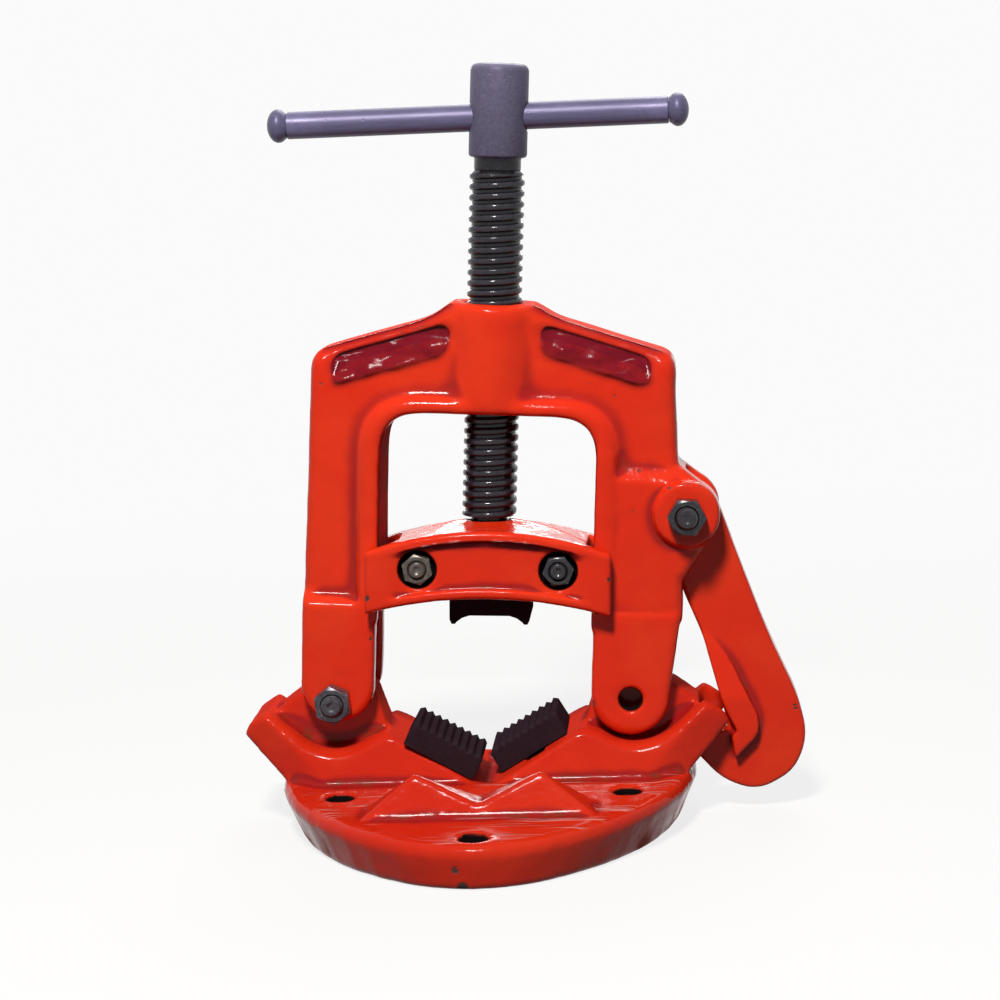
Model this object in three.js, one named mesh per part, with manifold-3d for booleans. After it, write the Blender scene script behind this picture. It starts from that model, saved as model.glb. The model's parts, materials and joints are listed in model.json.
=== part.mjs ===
// Hinged-yoke pipe vise in millimetres, +Z up, seen from the front along +Y.
// The origin is on the underside of the base, below the line where the lower jaws meet.
import * as THREE from 'three';
import { mergeVertices } from 'three/addons/utils/BufferGeometryUtils.js';
import Module from 'manifold-3d';

const wasm = await Module();
wasm.setup();

// Fits between pieces
const seatGap = 0.4; // bolted or seated faces
const runGap = 1; // faces that slide or swing past each other
const boltGap = 0.4; // bolt shank to its hole, on the radius
const buried = 3; // how far joined solids run into each other
const beyond = 5; // how far a cut runs past the face it opens

// Bolting flange of the base
const flangeHalf = 100;
const flangeFrontY = -131;
const flangeNose = 63; // radius of the round front
const flangeSide = 144;
const flangeRearY = 36;
const flangeRearRound = 12;
const rimHeight = 20.5;
const flangeRise = 4; // the top climbs this much from the front rim to the wall
const rimRound = 5;
const footTaperX = 0.918; // the rim draws in towards the foot, mostly at the sides
const footTaperY = 0.988;
const footChamfer = 1.5;
const pocketWall = 11;
const pocketRoof = 11;
const pocketRearY = -44;
const holeRadius = 6.5;
const holeBossRadius = 14;
const rearHoleX = 67;
const rearHoleY = -52;
const frontHoleY = -117;

// Walls, ears and hinge lugs of the base
const hingeX = 71.4;
const hingeZ = 62;
const wallDepth = 33; // half depth of the walls at the flange
const wallLean = 0.28; // the walls lean in this much per millimetre of height
const wallEdge = 2.5;
const shoulderX = 47;
const shoulderZ = 46.5;
const troughFloorZ = 38.5;
const troughRadius = 27;
const troughX = 71.5;
const earFootX = 96;
const earFootDraw = 10; // the wall runs in under the flange's top
const earTipX = 115.7;
const earTipZ = 46.5;
const earNose = 5;
const earTopRun = 11.7; // from the ear's tip back to its highest edge
const earTopZ = 57.2;
const earFacet = 15; // width of the slanted facet along the ear's end
const earFacetDepth = 6.5;
const earSlotHalf = 15.5;
const earSlotX = 93.5;
const roofEndRun = 13.7; // from the ear's tip back to the end of the roof over the hook
const roofUnderZ = 48.5;
const roofEndZ = 55;
const roofRidgeX = 90;
const roofRidgeZ = 64;
const webHalf = 12;
const lugRadius = 15.5;
const lugInnerX = 53;
const lugInnerZ = 64.5;
const bumpZ = 46;

// Pipe rest on the flange
const restFrontY = -91;
const restRidgeY = -82;
const restRidgeFlat = 2.5;
const restRearY = -68;
const restToeX = 53.5;
const restPeakX = 29;
const restPeakRise = 18.3;
const restVeeRise = 5;

// Lower jaws
const jawSlope = THREE.MathUtils.degToRad(30);
const jawMeetZ = 34; // height of the line where the two working faces would meet
const jawNip = 0.9; // each jaw stops this far short of that line
const jawLength = 36.6;
const jawThickness = 12;
const jawDepth = 36;
const jawTeeth = 9;
const jawToothDepth = 1.6;
const jawSeatRun = 9; // the seat's slope runs on past the jaw
const rightJawFrontY = -18;
const leftJawSlip = 13; // the left jaw has crept forward in its groove
const tongueNeck = 8;
const tongueFoot = 12;
const tongueDrop = 4.5;
const tongueLength = 20;
const tongueSetback = 11;

// Yoke, about its own middle plane, heights above the hinge bolt
const yokeLean = THREE.MathUtils.degToRad(3.8);
const pivotX = 70.3; // pivot holes of the two legs
const windowHalf = 50.5;
const cheekInnerX = 51.5;
const hingeLegX = 86.5; // outer edges of the legs: hinge side, then latch side at foot and at its widest
const latchLegX = 88.5;
const latchFlareX = 93.5;
const latchFlareZ = 54;
const windowTopZ = 138.7;
const windowCorner = 18;
const archHalf = 18.5; // half depth of the arch
const archEdge = 3;
const hingeShoulder = { x: 85, z: 165.5, neckZ: 182.5 };
const latchShoulder = { x: 86.6, z: 168.7, neckZ: 184.5 };
const shoulderRound = 11;
const archSideDrop = 15; // the arch's sides start to spread this far below the shoulders
const neckX = 30;
const neckRound = 8;
const bossCorner = 3;
const bossTopZ = 190.5;
const bossHalf = 19.5;
const bossBulge = 25; // radius of the screw boss
const bossEdge = 1.5;
const boreRadius = 13.7;
const cheekHalf = 24; // half depth over the forked leg ends
const cheekTopZ = 47;
const cheekRampZ = 52;
const cheekEdge = 2;
const forkHalf = 13;
const forkTopZ = 44;
const legEndZ = 7.5;
const spareHoleZ = 6.6;
const spareHoleRadius = 5.6;
const lipSide = 8; // raised lip round the window, level with the forked leg ends
const lipTop = 4.8;
const lipSlope = 4.6;
const lipTopSlope = 6.8;
const padHalf = 23; // front of the thick latch leg
const padTopZ = 110;
const padRampZ = 117;
const pocketTopGap = 4.5; // shoulder pockets, below the sloping edge
const shoulderPocketHeight = 14;
const hingePocketInnerX = 20;
const latchPocketInnerX = 23;
const shoulderPocketOuterX = 75;
const shoulderPocketDepth = 5;
const shoulderPocketRound = 5;

// Hook latch, pivot in the yoke's frame and shape about the pivot while it hangs plumb
const latchX = 93.6;
const latchZ = 95.9;
const latchBossRadius = 15.8;
const latchBossFace = 27; // the boss stands out in front only
const latchRootHigh = 24; // the boss grows out of the leg over this much height
const latchRootLow = 32;
const latchEyeRadius = 12.5;
const latchHeelX = 16; // outer edge of the arm beside the eye
const latchHalf = 8;
const latchEdge = 1;
const latchNotchX = 81;
const latchNotchDrop = 53;
const latchSlotRadius = 14.6;
const latchMouthX = 3.5; // the slot opens upwards from here outwards
const latchMouthRise = 18.5;
const hookRibHeight = 6;
const hookRibStart = -0.4; // shares of the drop over which the rib rises
const hookRibFull = -0.66;
const hookDrop = 138; // from the pivot to the bottom of the hook

// Bolts and nuts
const pivotBoltRadius = 5;
const pivotNutFlats = 16;
const pivotNutHeight = 8;
const pivotHeadHeight = 6.5;
const pivotBoltProud = 3;
const clampBoltRadius = 4;
const clampNutFlats = 13;
const clampNutHeight = 6.5;
const clampHeadHeight = 5.3;
const clampBoltProud = 1.5;
const threadChamfer = 1;
const hexFace = 0.95; // round face of a nut or head, as a share of its flats

// Screw and tommy bar, heights above the hinge bolt
const screwRadius = 13;
const screwRoot = 10.7;
const screwPitch = 5;
const screwCrest = 2.3;
const screwFlank = 0.35;
const hubBottomZ = 258;
const hubNeckLength = 6; // plain neck between the thread and the hub
const hubLength = 43.6;
const hubRadius = 13.7;
const hubDome = 3.5;
const hubFoot = 1.2;
const hubEase = 0.35; // how far in the dome's middle ring lies, as a share of the dome
const hubNeckRadius = 11;
const barRise = 18.7; // bar hole above the hub's foot
const barRadius = 6.35;
const barLength = 187; // between the middles of the two balls
const barSlide = -10.2; // the bar hangs this far off the middle of the hub
const barHoleGap = 0.95;
const spigotRadius = 4;
const spigotLength = 4.5;
const ballRadius = 7.8;
const ballHalf = 5.2;
const ballNeck = 6;
const ballInner = 4; // from the ball's widest place to the bar

// Jaw carrier and upper jaw, heights above the hinge bolt
const carrierHalf = 57.7;
const carrierTopZ = 86;
const carrierEndTopZ = 75.5;
const carrierBottomZ = 53.8;
const carrierEndBottomZ = 46;
const carrierFace = 34; // half depth over the two plates
const carrierEdge = 1.5;
const carrierShift = 1.7; // the carrier hangs loose on the screw, off to one side
const carrierTilt = THREE.MathUtils.degToRad(1.4); // and nearer to level than the yoke
const carrierCrown = 2; // the top climbs this much from the plates to the parting plane
const carrierCrownEnd = 3.5; // and falls this much at its ends
const carrierRearDrop = 4; // the rear plate ends lower
const buttonGap = 0.8;
const carrierBlockHalf = 45.5;
const panelHalf = 44;
const panelLip = 5;
const panelDepth = 2.2;
const panelRun = 6;
const panelRise = 0.8;
const clampX = 33;
const clampZ = 67.5;
const counterboreRadius = 9;
const counterboreDepth = 8;
const buttonRadius = 12.5;
const buttonBottomZ = 65;
const buttonTopZ = 72;
const screwNeckRadius = 8.5;
const upperJawHalf = 19;
const upperJawHalfDepth = 18;
const upperJawTopZ = 57;
const upperJawTipZ = 39.1;
const upperJawArch = 4.1;
const upperJawLobe = 2.6;
const upperJawHaunch = 0.72; // share of the arch's rise half-way to the lobe
const upperJawFlat = 9.5; // half width of the arch's flat top
const upperJawToe = 2;
const upperTangFoot = 7;
const upperTangHead = 9.5;
const upperTangZ = 61.5;

// Facets
const roundSides = 24;
const boltSides = 16;
const threadSides = 12;
const arcSteps = 10;

const red = 0xd42a1c;
const blackSteel = 0x1b1a1c;
const darkSteel = 0x3a393f;
const greySteel = 0x8d8a96;

// Solids

function solid(geometry) {
  const bare = geometry.clone();
  bare.deleteAttribute('normal');
  bare.deleteAttribute('uv');
  const merged = mergeVertices(bare, 1e-4);
  const index = merged.index.array;
  const kept = [];
  for (let i = 0; i < index.length; i += 3) {
    const [a, b, c] = [index[i], index[i + 1], index[i + 2]];
    if (a !== b && b !== c && c !== a) kept.push(a, b, c);
  }
  const mesh = new wasm.Mesh({
    numProp: 3,
    vertProperties: new Float32Array(merged.attributes.position.array),
    triVerts: new Uint32Array(kept),
  });
  return new wasm.Manifold(mesh);
}

function geometryOf(manifold) {
  const mesh = manifold.getMesh();
  const geometry = new THREE.BufferGeometry();
  geometry.setAttribute('position', new THREE.BufferAttribute(new Float32Array(mesh.vertProperties), 3));
  geometry.setIndex(new THREE.BufferAttribute(new Uint32Array(mesh.triVerts), 1));
  geometry.computeVertexNormals();
  return geometry;
}

function join(...solids) {
  return solids.reduce((whole, next) => whole.add(next));
}

function cut(whole, ...tools) {
  return tools.reduce((rest, tool) => rest.subtract(tool), whole);
}

function mirrored(points) {
  return points.concat(points.toReversed().map(([x, z]) => [-x, z]));
}

function arc(x, z, radius, from, to, steps = arcSteps) {
  const points = [];
  for (let i = 0; i <= steps; i += 1) {
    const angle = THREE.MathUtils.degToRad(from + ((to - from) * i) / steps);
    points.push([x + radius * Math.cos(angle), z + radius * Math.sin(angle)]);
  }
  return points;
}

// An arc over a span: highest or lowest in the middle, ending at endZ.
function bow(half, midZ, endZ, steps = arcSteps) {
  const rise = midZ - endZ;
  const radius = (half * half + rise * rise) / (2 * Math.abs(rise));
  const points = [];
  for (let i = 0; i <= steps; i += 1) {
    const x = half - (2 * half * i) / steps;
    const drop = radius - Math.sqrt(radius * radius - x * x);
    points.push([x, midZ - Math.sign(rise) * drop]);
  }
  return points;
}

// Corners given as [x, z, radius]; a corner without a radius stays sharp.
function rounded(corners) {
  const shape = new THREE.Shape();
  corners.forEach(([x, z, radius = 0], i) => {
    const corner = new THREE.Vector2(x, z);
    const before = new THREE.Vector2(...corners.at(i - 1).slice(0, 2));
    const after = new THREE.Vector2(...corners[(i + 1) % corners.length].slice(0, 2));
    const reach = Math.min(radius, corner.distanceTo(before) / 2.05, corner.distanceTo(after) / 2.05);
    const start = before.sub(corner).setLength(reach).add(corner);
    const end = after.sub(corner).setLength(reach).add(corner);
    if (i === 0) shape.moveTo(start.x, start.y);
    else shape.lineTo(start.x, start.y);
    if (reach > 0) shape.quadraticCurveTo(x, z, end.x, end.y);
  });
  return shape;
}

function outline(points) {
  return new THREE.Shape(points.map(([x, z]) => new THREE.Vector2(x, z)));
}

// A front-view outline carried from one depth to another, with bevelled front and rear edges.
function prism(shape, y0, y1, edge = 0, curveSegments = 4) {
  const geometry = new THREE.ExtrudeGeometry(shape, {
    depth: y1 - y0 - 2 * edge,
    bevelEnabled: edge > 0,
    bevelThickness: edge,
    bevelSize: edge,
    bevelOffset: -edge,
    bevelSegments: 1,
    curveSegments,
  });
  geometry.rotateX(Math.PI / 2);
  geometry.translate(0, y1 - edge, 0);
  return geometry;
}

// A side-view outline [y, z] carried across from x0 to x1.
function crossPrism(points, x0, x1) {
  const geometry = new THREE.ExtrudeGeometry(outline(points), { depth: x1 - x0, bevelEnabled: false });
  geometry.rotateX(Math.PI / 2);
  geometry.rotateZ(Math.PI / 2);
  geometry.translate(x0, 0, 0);
  return geometry;
}

function block(x0, x1, y0, y1, z0, z1) {
  const geometry = new THREE.BoxGeometry(x1 - x0, y1 - y0, z1 - z0);
  geometry.translate((x0 + x1) / 2, (y0 + y1) / 2, (z0 + z1) / 2);
  return solid(geometry);
}

function rodY(radius, x, z, y0, y1, sides = roundSides) {
  const geometry = new THREE.CylinderGeometry(radius, radius, y1 - y0, sides);
  geometry.translate(x, (y0 + y1) / 2, z);
  return solid(geometry);
}

function rodZ(radius, x, y, z0, z1, sides = roundSides) {
  const geometry = new THREE.CylinderGeometry(radius, radius, z1 - z0, sides);
  geometry.rotateX(Math.PI / 2);
  geometry.translate(x, y, (z0 + z1) / 2);
  return solid(geometry);
}

// A turned piece about the Z axis from [radius, z] points that start and end on the axis.
function turned(profile, sides = roundSides) {
  const geometry = new THREE.LatheGeometry(profile.map(([r, z]) => new THREE.Vector2(r, z)), sides);
  geometry.rotateX(Math.PI / 2);
  return geometry;
}

// Closed rings with equal point counts, skinned and capped.
function skin(rings) {
  const count = rings[0].length;
  const positions = rings.flat(2);
  const index = [];
  for (let k = 0; k + 1 < rings.length; k += 1) {
    for (let i = 0; i < count; i += 1) {
      const a = k * count + i;
      const b = k * count + ((i + 1) % count);
      index.push(a, b, b + count, a, b + count, a + count);
    }
  }
  const last = (rings.length - 1) * count;
  for (const [a, b, c] of THREE.ShapeUtils.triangulateShape(flat(rings[0]), [])) index.push(a, c, b);
  for (const [a, b, c] of THREE.ShapeUtils.triangulateShape(flat(rings.at(-1)), [])) {
    index.push(last + a, last + b, last + c);
  }
  const geometry = new THREE.BufferGeometry();
  geometry.setAttribute('position', new THREE.Float32BufferAttribute(positions, 3));
  geometry.setIndex(index);
  return geometry;
}

// Front-view outlines [points, y] at rising depths, skinned into one solid.
function loft(...sections) {
  const rings = sections.toReversed().map(([points, y]) => points.map(([x, z]) => [x, z, -y]));
  const geometry = skin(rings);
  geometry.rotateX(Math.PI / 2);
  return solid(geometry);
}

function flat(ring) {
  return ring.map(([x, y]) => new THREE.Vector2(x, y));
}

// A large block that fills the far side of the plane through three points.
function beyondPlane(a, b, c, inside) {
  const plane = new THREE.Plane().setFromCoplanarPoints(a, b, c);
  if (plane.distanceToPoint(inside) > 0) plane.negate();
  const size = 4 * flangeHalf;
  const geometry = new THREE.BoxGeometry(size, size, size);
  geometry.translate(0, 0, size / 2);
  const turn = new THREE.Quaternion().setFromUnitVectors(new THREE.Vector3(0, 0, 1), plane.normal);
  geometry.applyQuaternion(turn);
  geometry.translate(a.x, a.y, a.z);
  return solid(geometry);
}

function piece(name, shape, color, roughness, metalness) {
  const geometry = shape instanceof THREE.BufferGeometry ? shape : geometryOf(shape);
  const mesh = new THREE.Mesh(geometry, new THREE.MeshStandardMaterial({ color, roughness, metalness }));
  mesh.name = name;
  return mesh;
}

const casting = (name, shape) => piece(name, shape, red, 0.3, 0);
const hardened = (name, shape) => piece(name, shape, blackSteel, 0.55, 0.8);
const fastener = (name, shape) => piece(name, shape, darkSteel, 0.4, 0.9);

// Base

const wallFootY = -wallDepth;

function flangeTop(y) {
  const share = (y - flangeFrontY) / (wallFootY - flangeFrontY);
  return rimHeight + flangeRise * THREE.MathUtils.clamp(share, 0, 1);
}

const wallFootZ = flangeTop(wallFootY);
const earTopX = earTipX - earTopRun;
const roofEndX = earTipX - roofEndRun;

// The flange in plan: a round nose, bowed sides that run into it, and a straight rear with round corners.
function flangePlan(inset) {
  const noseY = flangeFrontY + flangeNose;
  const sideX = flangeHalf - flangeSide;
  const sideY = noseY + Math.sqrt((flangeSide - flangeNose) ** 2 - sideX ** 2);
  const cornerY = flangeRearY - flangeRearRound;
  const from = THREE.MathUtils.radToDeg(Math.atan2(noseY - sideY, -sideX));
  const to = THREE.MathUtils.radToDeg(Math.asin((cornerY - sideY) / flangeSide));
  const side = arc(sideX, sideY, flangeSide - inset, from, to);
  const cornerX = side.at(-1)[0] - flangeRearRound + inset;
  const right = [...side, ...arc(cornerX, cornerY, flangeRearRound - inset, 0, 90, 4).slice(1)];
  const nose = arc(0, noseY, flangeNose - inset, -180 - from, from).slice(1, -1);
  return [...nose, ...mirrored(right)];
}

function footPlan(inset) {
  return flangePlan(inset).map(([x, y]) => [footTaperX * x, flangeRearY + footTaperY * (y - flangeRearY)]);
}

function ringAt(plan, height) {
  return plan.map(([x, y]) => [x, y, height(y)]);
}

function flange() {
  const easing = rimRound * (1 - Math.SQRT1_2);
  return solid(skin([
    ringAt(footPlan(footChamfer), () => 0),
    ringAt(footPlan(0), () => footChamfer),
    ringAt(flangePlan(0), (y) => flangeTop(y) - rimRound),
    ringAt(flangePlan(easing), (y) => flangeTop(y) - easing),
    ringAt(flangePlan(rimRound), flangeTop),
  ]));
}

function leanIn(geometry, foot) {
  const position = geometry.attributes.position;
  for (let i = 0; i < position.count; i += 1) {
    const y = position.getY(i);
    const lean = Math.max(0, position.getZ(i) - foot) * wallLean;
    position.setY(i, y - Math.sign(y) * lean);
  }
  return geometry;
}

const legTrough = arc(troughX, troughFloorZ + troughRadius, troughRadius, -45, -125);

function baseWalls() {
  const half = [
    [earFootX - earFootDraw, buried],
    [earFootX, wallFootZ],
    [earTipX, earTipZ],
    [earTipX - earNose / 2, earTipZ + earNose],
    [earTopX, earTopZ],
    ...legTrough,
    [shoulderX, shoulderZ],
  ];
  return solid(leanIn(prism(outline(mirrored(half)), -wallDepth, wallDepth, wallEdge), wallFootZ));
}

function baseWeb() {
  const half = [
    [earFootX - earFootDraw, buried],
    [roofEndX, roofUnderZ],
    [roofEndX, roofEndZ],
    [roofRidgeX, roofRidgeZ],
    ...arc(hingeX, hingeZ, lugRadius, 10, 125),
    [lugInnerX, lugInnerZ],
    [shoulderX, bumpZ],
  ];
  return solid(prism(outline(mirrored(half)), -webHalf, webHalf));
}

function earFacets() {
  const run = new THREE.Vector2(earTipX - earFootX, earTipZ - wallFootZ).normalize();
  const inward = new THREE.Vector2(-run.y, run.x).multiplyScalar(earFacet);
  const faceY = (z) => wallDepth - (z - wallFootZ) * wallLean;
  const inside = new THREE.Vector3(0, 0, hingeZ / 2);
  const facets = [];
  for (const sideX of [-1, 1]) {
    for (const sideY of [-1, 1]) {
      const at = (x, y, z) => new THREE.Vector3(sideX * x, sideY * y, z);
      const highZ = earTipZ + inward.y;
      const lowZ = wallFootZ + inward.y;
      facets.push(beyondPlane(
        at(earTipX + inward.x, faceY(highZ), highZ),
        at(earFootX + inward.x, faceY(lowZ), lowZ),
        at(earTipX, faceY(earTipZ) - earFacetDepth, earTipZ),
        inside,
      ));
    }
  }
  return facets;
}

// The hook's slot in the latch-side ear: under a roof further in, open at the top towards the tip.
function earSlot() {
  const [low, far] = [wallFootZ + footChamfer, earTipX + beyond];
  return join(
    block(earSlotX, far, -earSlotHalf, earSlotHalf, low, roofUnderZ),
    block(roofEndX, far, -earSlotHalf, earSlotHalf, low, earTopZ + beyond),
  );
}

function pipeRest() {
  const toeZ = flangeTop(restFrontY);
  const ridgeZ = flangeTop(restRidgeY);
  const half = [
    [restToeX, toeZ - buried],
    [restToeX, toeZ],
    [restPeakX, ridgeZ + restPeakRise],
  ];
  const front = mirrored(half);
  front.splice(half.length, 0, [0, ridgeZ + restVeeRise]);
  const side = [
    [restFrontY, toeZ - buried],
    [restRearY, toeZ - buried],
    [restRearY, flangeTop(restRearY)],
    [restRidgeY + restRidgeFlat, ridgeZ + restPeakRise],
    [restRidgeY, ridgeZ + restPeakRise],
    [restFrontY, toeZ],
  ];
  const ridge = solid(prism(outline(front), restFrontY - beyond, restRearY + beyond));
  return ridge.intersect(solid(crossPrism(side, -restToeX - beyond, restToeX + beyond)));
}

// A point of the right-hand jaw's slope: along it from the meeting line, and square out of it.
function onSlope(along, out) {
  const x = along * Math.cos(jawSlope) - out * Math.sin(jawSlope);
  const z = along * Math.sin(jawSlope) + out * Math.cos(jawSlope);
  return [x, jawMeetZ + z];
}

const seatOut = -jawThickness - seatGap;
const tongueMiddle = jawNip + jawLength / 2;
const grooveFrontY = rightJawFrontY - leftJawSlip + tongueSetback - runGap;

function jawSeats() {
  const seatEnd = jawNip + jawLength + jawSeatRun;
  const half = [
    onSlope(seatEnd, seatOut),
    onSlope(seatEnd, 2 * jawThickness),
    [0, hingeZ + lugRadius + beyond],
  ];
  const points = mirrored(half);
  points.push([0, jawMeetZ + seatOut / Math.cos(jawSlope)]);
  const seats = [solid(prism(outline(points.reverse()), -wallDepth, wallDepth))];
  for (const side of [-1, 1]) {
    const groove = [
      [tongueMiddle - tongueNeck / 2 - seatGap, seatOut + seatGap],
      [tongueMiddle - tongueFoot / 2 - seatGap, seatOut - tongueDrop - seatGap],
      [tongueMiddle + tongueFoot / 2 + seatGap, seatOut - tongueDrop - seatGap],
      [tongueMiddle + tongueNeck / 2 + seatGap, seatOut + seatGap],
    ].map(([along, out]) => onSlope(along, out)).map(([x, z]) => [side * x, z]);
    const shape = outline(side > 0 ? groove : groove.reverse());
    seats.push(solid(prism(shape, grooveFrontY, flangeRearY + beyond)));
  }
  return seats;
}

const boltHoles = [[-rearHoleX, rearHoleY], [rearHoleX, rearHoleY], [0, frontHoleY]];

function underPocket() {
  const depth = rimHeight - pocketRoof;
  const shape = outline(footPlan(pocketWall));
  const geometry = new THREE.ExtrudeGeometry(shape, { depth: depth + beyond, bevelEnabled: false });
  geometry.translate(0, 0, -beyond);
  const bosses = boltHoles.map(([x, y]) => rodZ(holeBossRadius, x, y, -2 * beyond, rimHeight));
  const rear = block(-flangeHalf, flangeHalf, pocketRearY, flangeRearY, -2 * beyond, rimHeight);
  return cut(solid(geometry), rear, ...bosses);
}

function base() {
  const body = cut(join(baseWalls(), baseWeb()), ...earFacets());
  const carved = cut(body, earSlot());
  const whole = join(flange(), carved, pipeRest());
  const holes = boltHoles.map(([x, y]) => rodZ(holeRadius, x, y, -beyond, rimHeight + beyond));
  const hinge = rodY(pivotBoltRadius + boltGap, -hingeX, hingeZ, -wallDepth, wallDepth, boltSides);
  return cut(whole, ...jawSeats(), ...holes, hinge, underPocket());
}

// Lower jaws

function lowerJaw() {
  const tooth = jawLength / jawTeeth;
  const top = [];
  for (let i = 0; i < jawTeeth; i += 1) {
    top.push([jawNip + i * tooth, -jawToothDepth]);
    top.push([jawNip + (i + 0.5) * tooth, 0]);
  }
  top.push([jawNip + jawLength, -jawToothDepth]);
  const body = outline([
    ...top.reverse(),
    [jawNip, -jawThickness],
    [jawNip + jawLength, -jawThickness],
  ]);
  const tongue = outline([
    [tongueMiddle + tongueNeck / 2, seatGap - jawThickness],
    [tongueMiddle - tongueNeck / 2, seatGap - jawThickness],
    [tongueMiddle - tongueFoot / 2, -jawThickness - tongueDrop],
    [tongueMiddle + tongueFoot / 2, -jawThickness - tongueDrop],
  ]);
  return join(
    solid(prism(body, 0, jawDepth)),
    solid(prism(tongue, tongueSetback, tongueSetback + tongueLength)),
  );
}

function placedJaw(name, side) {
  const shape = side > 0 ? lowerJaw() : lowerJaw().mirror([1, 0, 0]);
  const jaw = hardened(name, shape);
  const slip = side > 0 ? 0 : leftJawSlip;
  jaw.position.set(0, rightJawFrontY - slip, jawMeetZ);
  jaw.rotation.y = -side * jawSlope;
  return jaw;
}

// Yoke

const legHalf = (outerX) => (outerX - cheekInnerX) / 2;
const legFootZ = legEndZ - legHalf(latchLegX) - beyond;

function windowShape(growSide, growTop) {
  const half = windowHalf + growSide;
  const top = windowTopZ + growTop;
  const corner = windowCorner + growSide;
  return rounded([
    [-half, forkTopZ - beyond],
    [half, forkTopZ - beyond],
    [half, top, corner],
    [-half, top, corner],
  ]);
}

const archFootZ = cheekTopZ - buried;

// The latch leg's foot and outer edge up to the shoulder.
function latchLegEdge() {
  return [
    [windowHalf, archFootZ],
    [latchFlareX, archFootZ],
    [latchFlareX, latchFlareZ],
    [latchShoulder.x, latchShoulder.z - archSideDrop],
  ];
}

function archPlate() {
  const latchSide = [
    ...latchLegEdge().slice(1),
    [latchShoulder.x, latchShoulder.z, shoulderRound],
    [neckX, latchShoulder.neckZ, neckRound],
    [bossHalf, bossTopZ, bossCorner],
  ];
  const hingeSide = [
    [-bossHalf, bossTopZ, bossCorner],
    [-neckX, hingeShoulder.neckZ, neckRound],
    [-hingeShoulder.x, hingeShoulder.z, shoulderRound],
    [-hingeShoulder.x, hingeShoulder.z - archSideDrop],
    [-hingeLegX, archFootZ],
  ];
  return solid(prism(rounded([...latchSide, ...hingeSide]), -archHalf, archHalf, archEdge));
}

// The raised lip round the window, still filled: on the front for side -1, on the rear for side 1.
function windowLip(side) {
  const ring = (...grow) => windowShape(...grow).getPoints(arcSteps).map(({ x, y }) => [x, y]);
  const crest = [ring(lipSide, lipTop), side * cheekHalf];
  const foot = [ring(lipSide + lipSlope, lipTop + lipTopSlope), side * (archHalf - footChamfer)];
  return side < 0 ? loft(crest, foot) : loft(foot, crest);
}

// The latch leg is thick up to a ramp above the hook's boss.
function latchPad() {
  const side = [
    [0, cheekTopZ - buried],
    [0, padRampZ],
    [-archHalf, padRampZ],
    [-padHalf, padTopZ],
    [-padHalf, cheekTopZ - buried],
  ];
  const leg = rounded([...latchLegEdge(), [windowHalf, latchShoulder.z]]);
  const body = solid(prism(leg, -padHalf, 0, archEdge));
  const root = solid(prism(latchRoot(), -padHalf, 0, archEdge));
  return join(body, root).intersect(solid(crossPrism(side, windowHalf, 2 * latchX)));
}

function shoulderPocket(sideX, sideY) {
  const shoulder = sideX > 0 ? latchShoulder : hingeShoulder;
  const innerX = sideX > 0 ? latchPocketInnerX : hingePocketInnerX;
  const slope = (shoulder.z - shoulder.neckZ) / (shoulder.x - neckX);
  const roofZ = (x) => shoulder.z + slope * (x - shoulder.x) - pocketTopGap;
  const corners = [
    [innerX, roofZ(innerX) - shoulderPocketHeight, shoulderPocketRound],
    [shoulderPocketOuterX, roofZ(shoulderPocketOuterX) - shoulderPocketHeight, shoulderPocketRound],
    [shoulderPocketOuterX, roofZ(shoulderPocketOuterX), shoulderPocketRound],
    [innerX, roofZ(innerX), shoulderPocketRound],
  ].map(([x, z, r]) => [sideX * x, z, r]);
  const shape = rounded(sideX > 0 ? corners : corners.reverse());
  const floorY = sideY * (archHalf - shoulderPocketDepth);
  const mouthY = sideY * (archHalf + beyond);
  return solid(prism(shape, Math.min(floorY, mouthY), Math.max(floorY, mouthY)));
}

function screwBoss() {
  const bottom = windowTopZ;
  const barrel = solid(turned([
    [0, bottom],
    [bossBulge - bossEdge, bottom],
    [bossBulge, bottom + bossEdge],
    [bossBulge, bossTopZ - bossEdge],
    [bossBulge - bossEdge, bossTopZ],
    [0, bossTopZ],
  ], 2 * roundSides));
  return barrel.intersect(block(-bossHalf, bossHalf, -bossBulge, bossBulge, bottom, bossTopZ));
}

function legEnds() {
  const side = [
    [-cheekHalf, legFootZ],
    [cheekHalf, legFootZ],
    [cheekHalf, cheekTopZ],
    [archHalf, cheekRampZ],
    [-archHalf, cheekRampZ],
    [-cheekHalf, cheekTopZ],
  ];
  const ends = [[hingeLegX, hingeLegX], [latchLegX, latchFlareX]].map(([footX, topX]) => {
    const half = legHalf(footX);
    return [
      ...arc(cheekInnerX + half, legEndZ, half, 180, 360, 2 * arcSteps),
      [topX, cheekRampZ + buried],
      [cheekInnerX, cheekRampZ + buried],
    ];
  });
  ends[0] = ends[0].toReversed().map(([x, z]) => [-x, z]);
  const legs = ends.map((points) => solid(prism(outline(points), -cheekHalf, cheekHalf, cheekEdge)));
  const reach = latchFlareX + beyond;
  return join(...legs).intersect(solid(crossPrism(side, -reach, reach)));
}

function latchRoot() {
  return outline([
    [pivotX, latchZ - latchRootLow],
    [latchFlareX, latchZ - latchRootLow],
    ...arc(latchX, latchZ, latchBossRadius, -25, 65),
    [latchShoulder.x, latchZ + latchRootHigh],
    [pivotX, latchZ + latchRootHigh],
  ]);
}

function latchBoss() {
  const disc = solid(prism(
    outline(arc(latchX, latchZ, latchBossRadius, 0, 360 - 360 / roundSides, roundSides - 1)),
    -latchBossFace,
    archHalf,
    bossEdge,
  ));
  return join(disc, solid(prism(latchRoot(), -archHalf, archHalf, archEdge)));
}

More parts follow.
